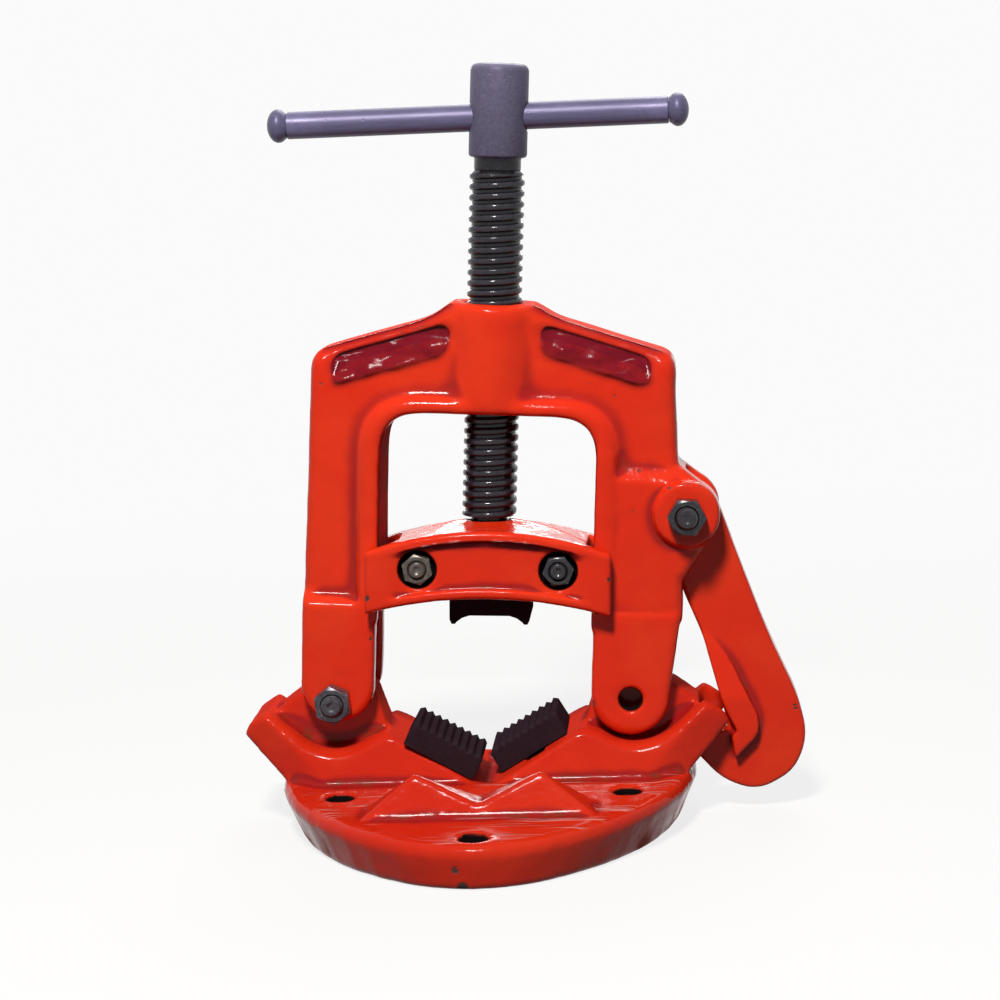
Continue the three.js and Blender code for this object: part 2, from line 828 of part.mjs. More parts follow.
function latchClevis() {
  const half = latchHalf + runGap;
  const mouthEndX = latchX + latchBossRadius + beyond;
  return join(
    rodY(latchSlotRadius, latchX, latchZ, -half, half),
    block(latchNotchX, mouthEndX, -half, half, latchZ - latchNotchDrop, latchZ),
    block(latchX - latchMouthX, mouthEndX, -half, half, latchZ - beyond, latchZ + latchMouthRise),
  );
}

function yoke() {
  const window = solid(prism(windowShape(0, 0), -2 * archHalf, 2 * archHalf));
  const pockets = [-1, 1].flatMap((x) => [-1, 1].map((y) => shoulderPocket(x, y)));
  const arch = cut(join(cut(archPlate(), ...pockets), windowLip(-1), windowLip(1), latchPad()), window);
  const whole = join(arch, screwBoss(), legEnds(), latchBoss());
  const reach = latchFlareX + beyond;
  const pivotHole = pivotBoltRadius + boltGap;
  return cut(
    whole,
    block(-reach, reach, -forkHalf, forkHalf, legFootZ, forkTopZ),
    latchClevis(),
    rodZ(boreRadius, 0, 0, windowTopZ - beyond, bossTopZ + beyond),
    rodY(pivotHole, -pivotX, 0, -cheekHalf - beyond, cheekHalf + beyond, boltSides),
    rodY(spareHoleRadius, pivotX, spareHoleZ, -cheekHalf - beyond, cheekHalf + beyond, boltSides),
    rodY(pivotHole, latchX, latchZ, -latchBossFace - beyond, archHalf + beyond, boltSides),
  );
}

// Hook latch

// Corners [x, z, radius] as shares of the hook's drop: inner edge of the arm, claw, outer edge.
const hookCorners = [
  [-0.0362, -0.2464, 0.0725],
  [0.0514, -0.4652, 0.1449],
  [0.1014, -0.6812, 0.0725],
  [0.1232, -0.7826, 0.029],
  [0.0362, -0.7681, 0.0217],
  [-0.0145, -0.7681, 0.0217],
  [-0.0072, -0.8406, 0.0362],
  [0.0942, -0.9565, 0.0725],
  [0.2174, -1, 0.087],
  [0.3478, -0.9275, 0.087],
  [0.3935, -0.8116, 0.087],
  [0.3659, -0.6667, 0.1014],
  [0.2783, -0.471, 0.1449],
  [0.1739, -0.1775, 0.1449],
].map((corner) => corner.map((share) => share * hookDrop));

const ribCorners = [
  [0.0362, -0.4203, 0.0217],
  [0.1254, -0.5094, 0.087],
  [0.2283, -0.7341, 0.0435],
  [0.2203, -0.7899, 0.029],
  [0.1413, -0.8696, 0.0109],
  [0.1304, -0.7935, 0.0072],
  [0.1486, -0.7754, 0.0072],
  [0.1014, -0.6775, 0.058],
].map((corner) => corner.map((share) => share * hookDrop));

function hookShape() {
  return rounded([[latchHeelX, 0], ...arc(0, 0, latchEyeRadius, 24, 190), ...hookCorners]);
}

function hookRib() {
  return rounded(ribCorners.toReversed());
}

function latchHook() {
  const arm = solid(prism(hookShape(), -latchHalf, latchHalf, latchEdge, 5));
  const low = -hookDrop - beyond;
  const face = latchHalf + hookRibHeight;
  const side = [
    [-face, low],
    [face, low],
    [face, hookRibFull * hookDrop],
    [latchHalf - seatGap, hookRibStart * hookDrop],
    [seatGap - latchHalf, hookRibStart * hookDrop],
    [-face, hookRibFull * hookDrop],
  ];
  const ribs = solid(prism(hookRib(), -face, face)).intersect(solid(crossPrism(side, -hookDrop, hookDrop)));
  const hole = rodY(pivotBoltRadius + boltGap, 0, 0, -latchHalf - beyond, latchHalf + beyond, boltSides);
  return cut(join(arm, ribs), hole);
}

// Bolts lie along Y with the nut in front; they pull on the nut's seat and the head's seat.

function hexagonY(flats, y0, y1) {
  const geometry = new THREE.CylinderGeometry(flats / Math.sqrt(3), flats / Math.sqrt(3), y1 - y0, 6);
  geometry.rotateY(Math.PI / 6);
  geometry.translate(0, (y0 + y1) / 2, 0);
  return solid(geometry);
}

function hexagonHead(flats, y0, y1, chamferFront, chamferRear) {
  const corner = flats / Math.sqrt(3) + seatGap;
  const flatRadius = (flats * hexFace) / 2;
  const drop = (corner - flatRadius) * Math.tan(Math.PI / 6);
  const profile = [[0, y0]];
  profile.push(...(chamferFront ? [[flatRadius, y0], [corner, y0 + drop]] : [[corner, y0]]));
  profile.push(...(chamferRear ? [[corner, y1 - drop], [flatRadius, y1]] : [[corner, y1]]));
  profile.push([0, y1]);
  const geometry = new THREE.LatheGeometry(profile.map(([r, y]) => new THREE.Vector2(r, y)), roundSides);
  return hexagonY(flats, y0, y1).intersect(solid(geometry));
}

function bolt({ radius, flats, headHeight, headSeat, tip }) {
  const profile = [
    [0, tip],
    [radius - threadChamfer, tip],
    [radius, tip + threadChamfer],
    [radius, headSeat + buried],
    [0, headSeat + buried],
  ];
  const shank = new THREE.LatheGeometry(profile.map(([r, y]) => new THREE.Vector2(r, y)), boltSides);
  return join(solid(shank), hexagonHead(flats, headSeat, headSeat + headHeight, false, true));
}

function nut({ radius, flats, height, seat }) {
  const body = hexagonHead(flats, seat - height, seat, true, false);
  return cut(body, rodY(radius + boltGap, 0, 0, seat - height - beyond, seat + beyond, boltSides));
}

function pivotSet(name, front, rear) {
  const seat = -front - seatGap;
  const shaft = bolt({
    radius: pivotBoltRadius,
    flats: pivotNutFlats,
    headHeight: pivotHeadHeight,
    headSeat: rear + seatGap,
    tip: seat - pivotNutHeight - pivotBoltProud,
  });
  const clamp = nut({ radius: pivotBoltRadius, flats: pivotNutFlats, height: pivotNutHeight, seat });
  return [fastener(`${name}_bolt`, shaft), fastener(`${name}_nut`, clamp)];
}

// Screw and tommy bar

// Root and square ridge as one helical skin that runs two turns past both heights.
// Each step around the axis has the ridge's foot, its two crest edges and its upper foot.
function threadSkin(z0, z1) {
  const turns = Math.ceil((z1 - z0) / screwPitch) + 4;
  const steps = turns * threadSides;
  const footHalf = screwCrest / 2 + screwFlank;
  const section = [
    [screwRoot, -footHalf],
    [screwRadius, -screwCrest / 2],
    [screwRadius, screwCrest / 2],
    [screwRoot, footHalf],
  ];
  const points = [];
  for (let i = 0; i <= steps; i += 1) {
    const angle = (2 * Math.PI * i) / threadSides;
    const z = z0 + screwPitch * (i / threadSides - 2);
    for (const [radius, height] of section) {
      points.push([radius * Math.cos(angle), radius * Math.sin(angle), z + height]);
    }
  }
  const at = (step, corner) => step * section.length + corner;
  const index = [];
  const band = (low, high, next) => {
    index.push(low, high + next, high, low, low + next, high + next);
  };
  for (let i = 0; i < steps; i += 1) {
    for (let corner = 0; corner < 3; corner += 1) band(at(i, corner), at(i, corner + 1), section.length);
    if (i + threadSides < steps) band(at(i, 3), at(i + threadSides, 0), section.length);
  }
  index.push(at(0, 0), at(0, 1), at(0, 2), at(0, 0), at(0, 2), at(0, 3));
  index.push(at(steps, 0), at(steps, 2), at(steps, 1), at(steps, 0), at(steps, 3), at(steps, 2));
  const foot = [];
  const head = [];
  for (let i = 0; i <= threadSides; i += 1) {
    foot.push(at(i, 0));
    head.push(at(steps - threadSides + i, 3));
  }
  foot.push(at(0, 3));
  head.push(at(steps, 0));
  const footMiddle = points.push([0, 0, points[foot[0]][2]]) - 1;
  const headMiddle = points.push([0, 0, points[head[0]][2]]) - 1;
  foot.forEach((corner, i) => index.push(footMiddle, foot[(i + 1) % foot.length], corner));
  head.forEach((corner, i) => index.push(headMiddle, corner, head[(i + 1) % head.length]));
  const geometry = new THREE.BufferGeometry();
  geometry.setAttribute('position', new THREE.Float32BufferAttribute(points.flat(), 3));
  geometry.setIndex(index);
  return solid(geometry);
}

const threadBottomZ = carrierTopZ + carrierCrown + runGap;
const threadTopZ = hubBottomZ - hubNeckLength;
const barZ = hubBottomZ + barRise;

function screw() {
  const hubTop = hubBottomZ + hubLength;
  const button = solid(turned([
    [0, buttonBottomZ],
    [buttonRadius - threadChamfer, buttonBottomZ],
    [buttonRadius, buttonBottomZ + threadChamfer],
    [buttonRadius, buttonTopZ],
    [screwNeckRadius, buttonTopZ],
    [screwNeckRadius, threadBottomZ + buried],
    [0, threadBottomZ + buried],
  ]));
  const hub = solid(turned([
    [0, threadTopZ - buried],
    [screwNeckRadius, threadTopZ - buried],
    [screwNeckRadius, threadTopZ],
    [hubNeckRadius, threadTopZ],
    [hubNeckRadius, hubBottomZ],
    [hubRadius - hubFoot, hubBottomZ],
    [hubRadius, hubBottomZ + hubFoot],
    [hubRadius, hubTop - hubDome],
    [hubRadius - hubDome * hubEase, hubTop - hubDome * hubEase],
    [hubRadius - hubDome, hubTop],
    [0, hubTop],
  ]));
  const reach = screwRadius + beyond;
  const trim = block(-reach, reach, -reach, reach, threadBottomZ, threadTopZ);
  const thread = threadSkin(threadBottomZ, threadTopZ).intersect(trim);
  const holeSize = barRadius + barHoleGap;
  const hole = new THREE.CylinderGeometry(holeSize, holeSize, 4 * hubRadius, roundSides);
  hole.rotateZ(Math.PI / 2);
  hole.rotateY(-yokeLean / 2);
  hole.translate(0, 0, barZ);
  return cut(join(button, thread, hub), solid(hole));
}

function alongX(profile, sides = roundSides) {
  const geometry = new THREE.LatheGeometry(profile.map(([r, x]) => new THREE.Vector2(r, x)), sides);
  geometry.rotateZ(-Math.PI / 2);
  return geometry;
}

const barShoulder = barLength / 2 - ballInner - seatGap;

function tommyBar() {
  const end = barShoulder + spigotLength;
  return solid(alongX([
    [0, -end],
    [spigotRadius, -end],
    [spigotRadius, -barShoulder],
    [barRadius, -barShoulder],
    [barRadius, barShoulder],
    [spigotRadius, barShoulder],
    [spigotRadius, end],
    [0, end],
  ]));
}

function tommyBall(side) {
  const socket = spigotLength + seatGap - ballInner;
  const neck = THREE.MathUtils.radToDeg(Math.acos(ballNeck / ballRadius));
  const profile = [
    [spigotRadius + seatGap, -ballInner],
    [ballNeck, -ballInner],
    ...arc(0, 0, 1, -neck, 80, 6).map(([r, x]) => [r * ballRadius, x * ballHalf]),
    [0, ballHalf],
    [0, socket],
    [spigotRadius + seatGap, socket],
    [spigotRadius + seatGap, -ballInner],
  ];
  const ball = solid(alongX(profile, boltSides));
  return side > 0 ? ball : ball.mirror([1, 0, 0]);
}

// Jaw carrier: two halves that part on the yoke's middle plane

function carrierRing(half, grow, drop) {
  const share = (half / carrierHalf) ** 2;
  const topZ = carrierTopZ + grow - drop;
  const bottomZ = carrierBottomZ - grow;
  return [
    ...bow(half, topZ, topZ - (carrierTopZ - carrierEndTopZ) * share),
    ...bow(half, bottomZ, bottomZ - (carrierBottomZ - carrierEndBottomZ) * share).reverse(),
  ];
}

// The block between the plates: its top runs from the plate's edge to the crown on the parting plane.
function carrierBlock(drop) {
  const atPlate = carrierRing(carrierBlockHalf, 0, drop);
  const atParting = carrierRing(carrierBlockHalf, 0, 0).map(([x, z], i, ring) => {
    const top = i < ring.length / 2;
    const share = (x / carrierBlockHalf) ** 2;
    return [x, top ? z + carrierCrown - (carrierCrown + carrierCrownEnd) * share : z];
  });
  return loft([atPlate, -plateBack - buried], [atParting, -seatGap / 2]);
}

const plateBack = cheekHalf + runGap;
const jawPocket = upperJawHalf + seatGap;

function carrierHalfBody(drop) {
  const plateRing = outline(carrierRing(carrierHalf, 0, drop));
  const plate = solid(prism(plateRing, -carrierFace, -plateBack, carrierEdge));
  const panel = loft(
    [carrierRing(panelHalf + panelRun, panelRise - panelLip, drop), -carrierFace - seatGap],
    [carrierRing(panelHalf - panelRun, -panelLip, drop), panelDepth - carrierFace],
  );
  const tang = outline([
    [-jawPocket, carrierEndBottomZ - beyond],
    [jawPocket, carrierEndBottomZ - beyond],
    [jawPocket, upperJawTopZ + seatGap],
    [upperTangFoot + seatGap, upperJawTopZ + seatGap],
    [upperTangHead + seatGap, upperTangZ + seatGap],
    [-upperTangHead - seatGap, upperTangZ + seatGap],
    [-upperTangFoot - seatGap, upperJawTopZ + seatGap],
    [-jawPocket, upperJawTopZ + seatGap],
  ]);
  const topZ = carrierTopZ + carrierCrown + beyond;
  const button = solid(turned([
    [0, buttonBottomZ - buttonGap],
    [buttonRadius + buttonGap, buttonBottomZ - buttonGap],
    [buttonRadius + buttonGap, buttonTopZ + buttonGap],
    [screwNeckRadius + buttonGap, buttonTopZ + buttonGap],
    [screwNeckRadius + buttonGap, topZ],
    [0, topZ],
  ])).translate([-carrierShift, 0, 0]);
  const bolts = [-clampX, clampX].flatMap((x) => [
    rodY(clampBoltRadius + boltGap, x, clampZ, -carrierFace - beyond, beyond, boltSides),
    rodY(counterboreRadius, x, clampZ, -carrierFace - beyond, counterboreDepth - carrierFace),
  ]);
  const pocket = solid(prism(tang, -upperJawHalfDepth - seatGap, beyond));
  return cut(join(plate, carrierBlock(drop)), panel, pocket, button, ...bolts);
}

function upperJaw() {
  const body = [
    [upperJawHalf, upperJawTopZ],
    [upperTangFoot, upperJawTopZ],
    [upperTangHead, upperTangZ],
  ];
  const lobeX = upperJawHalf - upperJawLobe;
  const lobe = [
    [upperJawFlat, upperJawTipZ + upperJawArch],
    [(upperJawFlat + lobeX) / 2, upperJawTipZ + upperJawArch * upperJawHaunch],
    [lobeX - upperJawToe / 2, upperJawTipZ + upperJawArch * (1 - upperJawHaunch)],
    [lobeX, upperJawTipZ],
    [upperJawHalf - upperJawToe / 2, upperJawTipZ],
    [upperJawHalf, upperJawTipZ + upperJawToe],
  ];
  const points = [
    ...body,
    ...body.toReversed().map(([x, z]) => [-x, z]),
    ...lobe.toReversed().map(([x, z]) => [-x, z]),
    ...lobe,
  ];
  return solid(prism(outline(points), -upperJawHalfDepth, upperJawHalfDepth));
}

function clampSet(name) {
  const face = carrierFace - counterboreDepth + seatGap;
  const shaft = bolt({
    radius: clampBoltRadius,
    flats: clampNutFlats,
    headHeight: clampHeadHeight,
    headSeat: face,
    tip: -face - clampNutHeight - clampBoltProud,
  });
  const clamp = nut({ radius: clampBoltRadius, flats: clampNutFlats, height: clampNutHeight, seat: -face });
  return [fastener(`carrier_bolt_${name}`, shaft), fastener(`carrier_nut_${name}`, clamp)];
}

// Assembly

function moved(meshes, x, z) {
  for (const mesh of meshes) mesh.position.set(x, 0, z);
  return meshes;
}

const vise = new THREE.Group();
vise.add(casting('base', base()));
vise.add(placedJaw('lower_jaw_left', -1), placedJaw('lower_jaw_right', 1));

const hinge = new THREE.Group();
hinge.position.set(-hingeX, 0, hingeZ);
hinge.rotation.y = yokeLean;
vise.add(hinge);

const yokeFrame = new THREE.Group();
yokeFrame.position.x = pivotX;
hinge.add(yokeFrame);
yokeFrame.add(casting('yoke', yoke()));
yokeFrame.add(...moved(pivotSet('hinge', cheekHalf, cheekHalf), -pivotX, 0));
yokeFrame.add(...moved(pivotSet('latch', latchBossFace, archHalf), latchX, latchZ));

const hook = casting('latch_hook', latchHook());
hook.position.set(latchX, 0, latchZ);
hook.rotation.y = -yokeLean;
yokeFrame.add(hook);

const buttonMiddleZ = (buttonBottomZ + buttonTopZ) / 2;
const hanger = new THREE.Group();
hanger.position.set(carrierShift, 0, buttonMiddleZ);
hanger.rotation.y = -carrierTilt;
yokeFrame.add(hanger);
const carrier = new THREE.Group();
carrier.position.z = -buttonMiddleZ;
hanger.add(carrier);
carrier.add(casting('carrier_front', carrierHalfBody(0)));
carrier.add(casting('carrier_rear', carrierHalfBody(carrierRearDrop).mirror([0, 1, 0])));
carrier.add(hardened('upper_jaw', upperJaw()));
carrier.add(...moved(clampSet('left'), -clampX, clampZ));
carrier.add(...moved(clampSet('right'), clampX, clampZ));
yokeFrame.add(piece('screw', screw(), blackSteel, 0.45, 0.9));

const handle = new THREE.Group();
handle.position.z = barZ;
handle.rotation.y = -yokeLean;
yokeFrame.add(handle);
const bar = piece('tommy_bar', tommyBar(), greySteel, 0.4, 0.9);
const ballLeft = piece('tommy_ball_left', tommyBall(-1), greySteel, 0.35, 0.9);
const ballRight = piece('tommy_ball_right', tommyBall(1), greySteel, 0.35, 0.9);
bar.position.x = barSlide;
ballLeft.position.x = barSlide - barLength / 2;
ballRight.position.x = barSlide + barLength / 2;
handle.add(bar, ballLeft, ballRight);

export default vise;
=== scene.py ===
"""Dressed model of a hinged-yoke pipe vise: enamelled castings, black screw, steel bar and bolts.

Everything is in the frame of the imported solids. Stage and noises are in metres, pieces in
millimetres. Each solid is replaced by one finer piece.
"""

from __future__ import annotations

import json
import logging
import math
from dataclasses import dataclass, field, replace
from enum import Enum
from functools import cache
from typing import Any, Iterable, Union

import bmesh
import bpy
import numpy as np
from bmesh.types import BMesh
from bpy.types import Material, Mesh, NodeSocket, Object, World
from mathutils import Matrix, Vector


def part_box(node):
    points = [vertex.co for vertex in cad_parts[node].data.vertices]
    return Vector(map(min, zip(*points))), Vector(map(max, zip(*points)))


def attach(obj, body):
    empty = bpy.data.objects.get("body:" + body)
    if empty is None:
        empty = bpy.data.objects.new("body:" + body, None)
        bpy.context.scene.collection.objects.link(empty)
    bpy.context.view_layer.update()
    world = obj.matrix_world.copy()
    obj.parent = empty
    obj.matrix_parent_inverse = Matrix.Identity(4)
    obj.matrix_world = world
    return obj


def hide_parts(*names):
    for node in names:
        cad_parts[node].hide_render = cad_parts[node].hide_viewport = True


LOG = logging.getLogger("pipe_vise")
MM = 0.001

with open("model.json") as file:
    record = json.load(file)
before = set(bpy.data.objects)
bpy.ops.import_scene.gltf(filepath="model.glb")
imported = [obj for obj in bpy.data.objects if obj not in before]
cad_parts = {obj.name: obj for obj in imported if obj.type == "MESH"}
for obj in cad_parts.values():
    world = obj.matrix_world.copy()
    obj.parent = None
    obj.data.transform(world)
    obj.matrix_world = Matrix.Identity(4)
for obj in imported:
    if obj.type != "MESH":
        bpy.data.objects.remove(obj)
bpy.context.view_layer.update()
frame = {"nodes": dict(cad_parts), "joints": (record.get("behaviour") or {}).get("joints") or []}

Value = Union["Wire", float, int]
Span = tuple[float, float]
Triple = tuple[float, float, float]


class Slot(Enum):
    """Material slots of the record."""

    PAINT = "red_paint"
    JAW = "jaw_steel"
    SCREW = "screw_steel"
    BAR = "bar_steel"
    BOLT = "bolt_steel"


class Body(Enum):
    """Moving bodies of the vise."""

    BASE = "base"
    YOKE = "yoke"
    LATCH_PIN = "latch_pin"
    LATCH = "latch"
    CARRIER = "carrier"
    SCREW = "screw"
    BAR = "bar"


# Shader maths


class Wire:
    """A value socket that takes part in sums and products."""

    def __init__(self, tree: "Tree", socket: NodeSocket) -> None:
        """Wraps one output socket of a tree."""
        self.tree = tree
        self.socket = socket

    def _math(self, operation: str, first: Value, second: Value) -> "Wire":
        """Adds a Math node and gives its result."""
        return self.tree.node("ShaderNodeMath", {"operation": operation}, {0: first, 1: second})

    def __add__(self, other: Value) -> "Wire":
        """Sum."""
        return self._math("ADD", self, other)

    def __sub__(self, other: Value) -> "Wire":
        """Difference."""
        return self._math("SUBTRACT", self, other)

    def __rsub__(self, other: Value) -> "Wire":
        """Difference from a number on the left."""
        return self._math("SUBTRACT", other, self)

    def __mul__(self, other: Value) -> "Wire":
        """Product."""
        return self._math("MULTIPLY", self, other)

    __radd__ = __add__
    __rmul__ = __mul__

    def at_most(self, other: Value) -> "Wire":
        """Smaller of two values."""
        return self._math("MINIMUM", self, other)

    def at_least(self, other: Value) -> "Wire":
        """Larger of two values."""
        return self._math("MAXIMUM", self, other)

    def step(self, low: float, high: float) -> "Wire":
        """Smooth step from 0 at low to 1 at high.

        Args:
            low: value that becomes 0.
            high: value that becomes 1; below low for a falling step.

        Returns:
            The eased value.
        """
        inputs = {"Value": self, "From Min": min(low, high), "From Max": max(low, high)}
        if high < low:
            inputs |= {"To Min": 1.0, "To Max": 0.0}
        return self.tree.node("ShaderNodeMapRange", {"interpolation_type": "SMOOTHSTEP"}, inputs)


class Tree:
    """A node tree that is filled by expressions."""

    def __init__(self, owner: Material | World) -> None:
        """Empties the owner's tree.

        Args:
            owner: the material or world.
        """
        owner.use_nodes = True
        self.tree = owner.node_tree
        self.tree.nodes.clear()

    def seen(self) -> Wire:
        """1 for a ray that shows the background: from the camera, mirrored or through glass."""
        kinds = ("Is Camera Ray", "Is Glossy Ray", "Is Transmission Ray")
        camera, glossy, through = (self.node("ShaderNodeLightPath", {}, {}, kind) for kind in kinds)
        return camera.at_least(glossy).at_least(through)

    def end(self, surface: Wire, kind: str) -> None:
        """Links a shader to a new output node."""
        output = self.tree.nodes.new(kind)
        self.tree.links.new(surface.socket, output.inputs["Surface"])

    def node(self, kind: str, settings: dict[str, Any], inputs: dict[Any, Any],
             output: Any = 0) -> Wire:
        """Adds any node.

        Args:
            kind: the node's type.
            settings: its properties.
            inputs: values or wires by socket name or number.
            output: the output that is returned.

        Returns:
            The chosen output.
        """
        made = self.tree.nodes.new(kind)
        for key, value in settings.items():
            setattr(made, key, value)
        for key, value in inputs.items():
            socket = made.inputs[key]
            if isinstance(value, Wire):
                self.tree.links.new(value.socket, socket)
            elif socket.type == "RGBA":
                socket.default_value = (*value, 1.0)
            else:
                socket.default_value = value
        return Wire(self, made.outputs[output])


@dataclass(frozen=True)
class Grain:
    """A cloudy noise: size is in metres, and span holds values that become 0 and 1."""

    size: float
    detail: float = 2.0
    rough: float = 0.5
    warp: float = 0.0
    stretch: Triple = (1.0, 1.0, 1.0)
    span: Span | None = None


class Shader(Tree):
    """Node tree of one material, with Object coordinates at hand."""

    def __init__(self, name: str) -> None:
        """Starts an empty material.

        Args:
            name: the material's name.
        """
        self.material = bpy.data.materials.new(name)
        super().__init__(self.material)
        self.place = self.node("ShaderNodeTexCoord", {}, {}, "Object")

    def noise(self, grain: Grain) -> Wire:
        """Cloudy noise.

        Args:
            grain: its kind.

        Returns:
            The noise, eased over the grain's span if it has one.
        """
        where = self.node("ShaderNodeMapping", {}, {"Vector": self.place, "Scale": grain.stretch})
        plain = self.node("ShaderNodeTexNoise", {}, {
            "Vector": where, "Scale": 1.0 / grain.size, "Detail": grain.detail,
            "Roughness": grain.rough, "Distortion": grain.warp,
        })
        return plain.step(*grain.span) if grain.span else plain

    def cells(self, size: float) -> Wire:
        """Distance in cells to the nearest of points scattered at a mean spacing in metres."""
        return self.node("ShaderNodeTexVoronoi", {}, {"Vector": self.place, "Scale": 1.0 / size})

    def attribute(self, name: str) -> Wire:
        """A value stored on the mesh's points."""
        return self.node("ShaderNodeAttribute", {"attribute_name": name}, {}, "Fac")

    def axis(self, letter: str) -> Wire:
        """One Object coordinate, in metres."""
        return self.node("ShaderNodeSeparateXYZ", {}, {0: self.place}, letter)

    def blend(self, share: Value, first: Wire | Triple, second: Wire | Triple) -> Wire:
        """Mixes two colours: a share of 0 gives the first, 1 the second."""
        settings = {"data_type": "RGBA", "clamp_factor": True}
        return self.node("ShaderNodeMix", settings, {0: share, 6: first, 7: second}, 2)

    def bump(self, height: Wire, depth: float) -> Wire:
        """Surface normal from a height, with so many metres of depth between 0 and 1."""
        return self.node("ShaderNodeBump", {}, {"Height": height, "Distance": depth}, "Normal")

    def surface(self, **sockets: Any) -> Material:
        """Ends the tree in a Principled shader.

        Args:
            sockets: its inputs, with underscores for spaces.

        Returns:
            The material.
        """
        inputs = {key.replace("_", " "): value for key, value in sockets.items()}
        shader = self.node("ShaderNodeBsdfPrincipled", {}, inputs, "BSDF")
        self.end(shader, "ShaderNodeOutputMaterial")
        return self.material


# Finishes

WHITE: Triple = (1.0, 1.0, 1.0)
VIOLET: Triple = (0.76, 0.70, 1.0)
NOISE_MEAN = 0.5

CLOUDS = Grain(0.045, 3.0, span=(0.42, 0.68))
MOTTLE = Grain(0.006, 4.0, 0.65)
HOLLOW_BROWN_NOISE = Grain(0.012, 5.0, 0.7, span=(0.48, 0.70))
GLINT_STREAKS = Grain(0.0030, stretch=(0.05, 1.0, 1.0), span=(0.56, 0.66))
PATCHES = Grain(0.040, span=(0.44, 0.58))
FOOT_SHADE_NOISE = Grain(0.02, 4.0, 0.6, 0.4, span=(0.30, 0.70))
FLAKES = Grain(0.0045, 3.0, 0.6)
CHIPS = Grain(0.03, span=(0.58, 0.66))
PEEL = Grain(0.0032, 2.0, 0.45)
LUMPS = Grain(0.011)
WAVES = Grain(0.009, 0.0, 0.0, 0.0, (0.8, 1.0, 1.3))
GLOSS = Grain(0.02, 4.0, 0.6)
DRAWN = Grain(0.0016, 4.0, 0.65)
BLOTCHES = Grain(0.012, 4.0, 0.6, 0.3)
RUBBING = Grain(0.003, 3.0, span=(0.30, 0.62))
PITTED = Grain(0.006, span=(0.48, 0.62))


@dataclass(frozen=True)
class Enamel:
    """Thick glossy red enamel; a span holds the values where an effect starts and is full."""

    name: str
    lit: Triple = (0.72, 0.026, 0.006)
    warm: Triple = (0.78, 0.046, 0.010)
    # deep crimson of the painted shade in hollows, pockets and the lip groove
    deep: Triple = (0.17, 0.002, 0.011)
    # olive-brown of the mottled hollows and of the painted shade round the base's foot
    olive_brown: Triple = (0.105, 0.040, 0.012)
    bare: Triple = (0.070, 0.056, 0.050)
    hole_shade: Triple = (0.005, 0.003, 0.003)
    warm_share: float = 0.5
    sunken: Span = (0.07, 0.60)
    sunken_share: float = 0.62
    pool_and_shade_share: float = 0.72
    pool_and_shade_mottle: float = 0.4
    hollow_brown_span: Span = (0.40, 1.0)
    hollow_brown_share: float = 0.8
    sharp: Span = (0.45, 0.8)
    chipped: Span = (0.52, 0.56)
    speck_gap: float = 0.021
    speck_size: Span = (0.055, 0.03)
    speck_share: float = 0.7
    specked: Span = (0.5, 0.55)
    knocked: Span = (0.1, 0.5)
    rubbed: Span = (0.44, 0.50)
    peel_height: float = 0.30
    lump_height: float = 0.85
    chip_depth: float = 0.45
    wave_height: float = 8.0
    relief: float = 0.0005
    rough: float = 0.10
    rough_cloud: float = 0.12
    rough_hollow_brown: float = 0.12
    rough_matt: float = 0.7
    roughest: float = 0.9
    ior: float = 1.15
    coat: float = 0.20
    coat_rough: float = 0.055
    coat_ior: float = 1.32

    @cache
    def make(self) -> Material:
        """Builds the material once.

        Returns:
            The enamel, with painted shade and paint pooling in hollows, chips on edges and orange
            peel.
        """
        shader = Shader(self.name)
        names = ("hollow", "pool_and_shade", "edge", "bore", "worn", "dull")
        hollow, pool_and_shade, edge, bore, worn, dull = map(shader.attribute, names)
        colour = shader.blend(shader.noise(CLOUDS) * self.warm_share, self.lit, self.warm)
        # painted shade, partly paint pooling: deep crimson in the shoulder pockets and in the
        # groove under the carrier's lip
        pooled_and_shaded = pool_and_shade * (self.pool_and_shade_share + self.pool_and_shade_mottle * shader.noise(MOTTLE))
        # painted shade: hollows darken towards deep crimson
        sunk = hollow.step(*self.sunken) * self.sunken_share + pooled_and_shaded
        colour = shader.blend(sunk.at_most(1.0), colour, self.deep)
        # darker olive-brown in the hollows, mottled
        hollow_brown = hollow.step(*self.hollow_brown_span) * shader.noise(HOLLOW_BROWN_NOISE) * (1.0 - pool_and_shade)
        colour = shader.blend(hollow_brown * self.hollow_brown_share, colour, self.olive_brown)
        colour, foot_shade, ridges = self.use(shader, colour)
        flakes = shader.noise(FLAKES)
        chip = edge.step(*self.sharp) * shader.noise(CHIPS) * flakes.step(*self.chipped)
        speck = shader.cells(self.speck_gap).step(*self.speck_size) * flakes.step(*self.specked)
        rubbed = worn.step(*self.knocked) * flakes.step(*self.rubbed)
        bared = chip.at_least(speck * self.speck_share).at_least(rubbed)
        colour = shader.blend(bared, colour, self.bare)
        # painted shade: the insides of holes turn nearly black
        colour = shader.blend(bore, colour, self.hole_shade)
        skin = self.peel_height * shader.noise(PEEL) + self.lump_height * shader.noise(LUMPS)
        waves = self.wave_height * pool_and_shade * shader.noise(WAVES)
        height = skin - self.chip_depth * bared + waves + ridges
        matt = bared.at_least(bore).at_least(dull).at_least(foot_shade).at_most(1.0)
        rough = self.rough + self.rough_cloud * shader.noise(GLOSS)
        rough = rough + self.rough_hollow_brown * hollow_brown + self.rough_matt * matt
        return shader.surface(
            Base_Color=colour,
            Roughness=rough.at_most(self.roughest),
            IOR=self.ior,
            Coat_Weight=self.coat * (1.0 - matt),
            Coat_Roughness=self.coat_rough,
            Coat_IOR=self.coat_ior,
            Normal=shader.bump(height, self.relief),
        )

    def use(self, shader: Shader, colour: Wire) -> tuple[Wire, Value, Value]:
        """Adds the base's painted glints and painted shade, and gives colour, mattness and height;
        plain enamel has none.
        """
        return colour, 0.0, 0.0


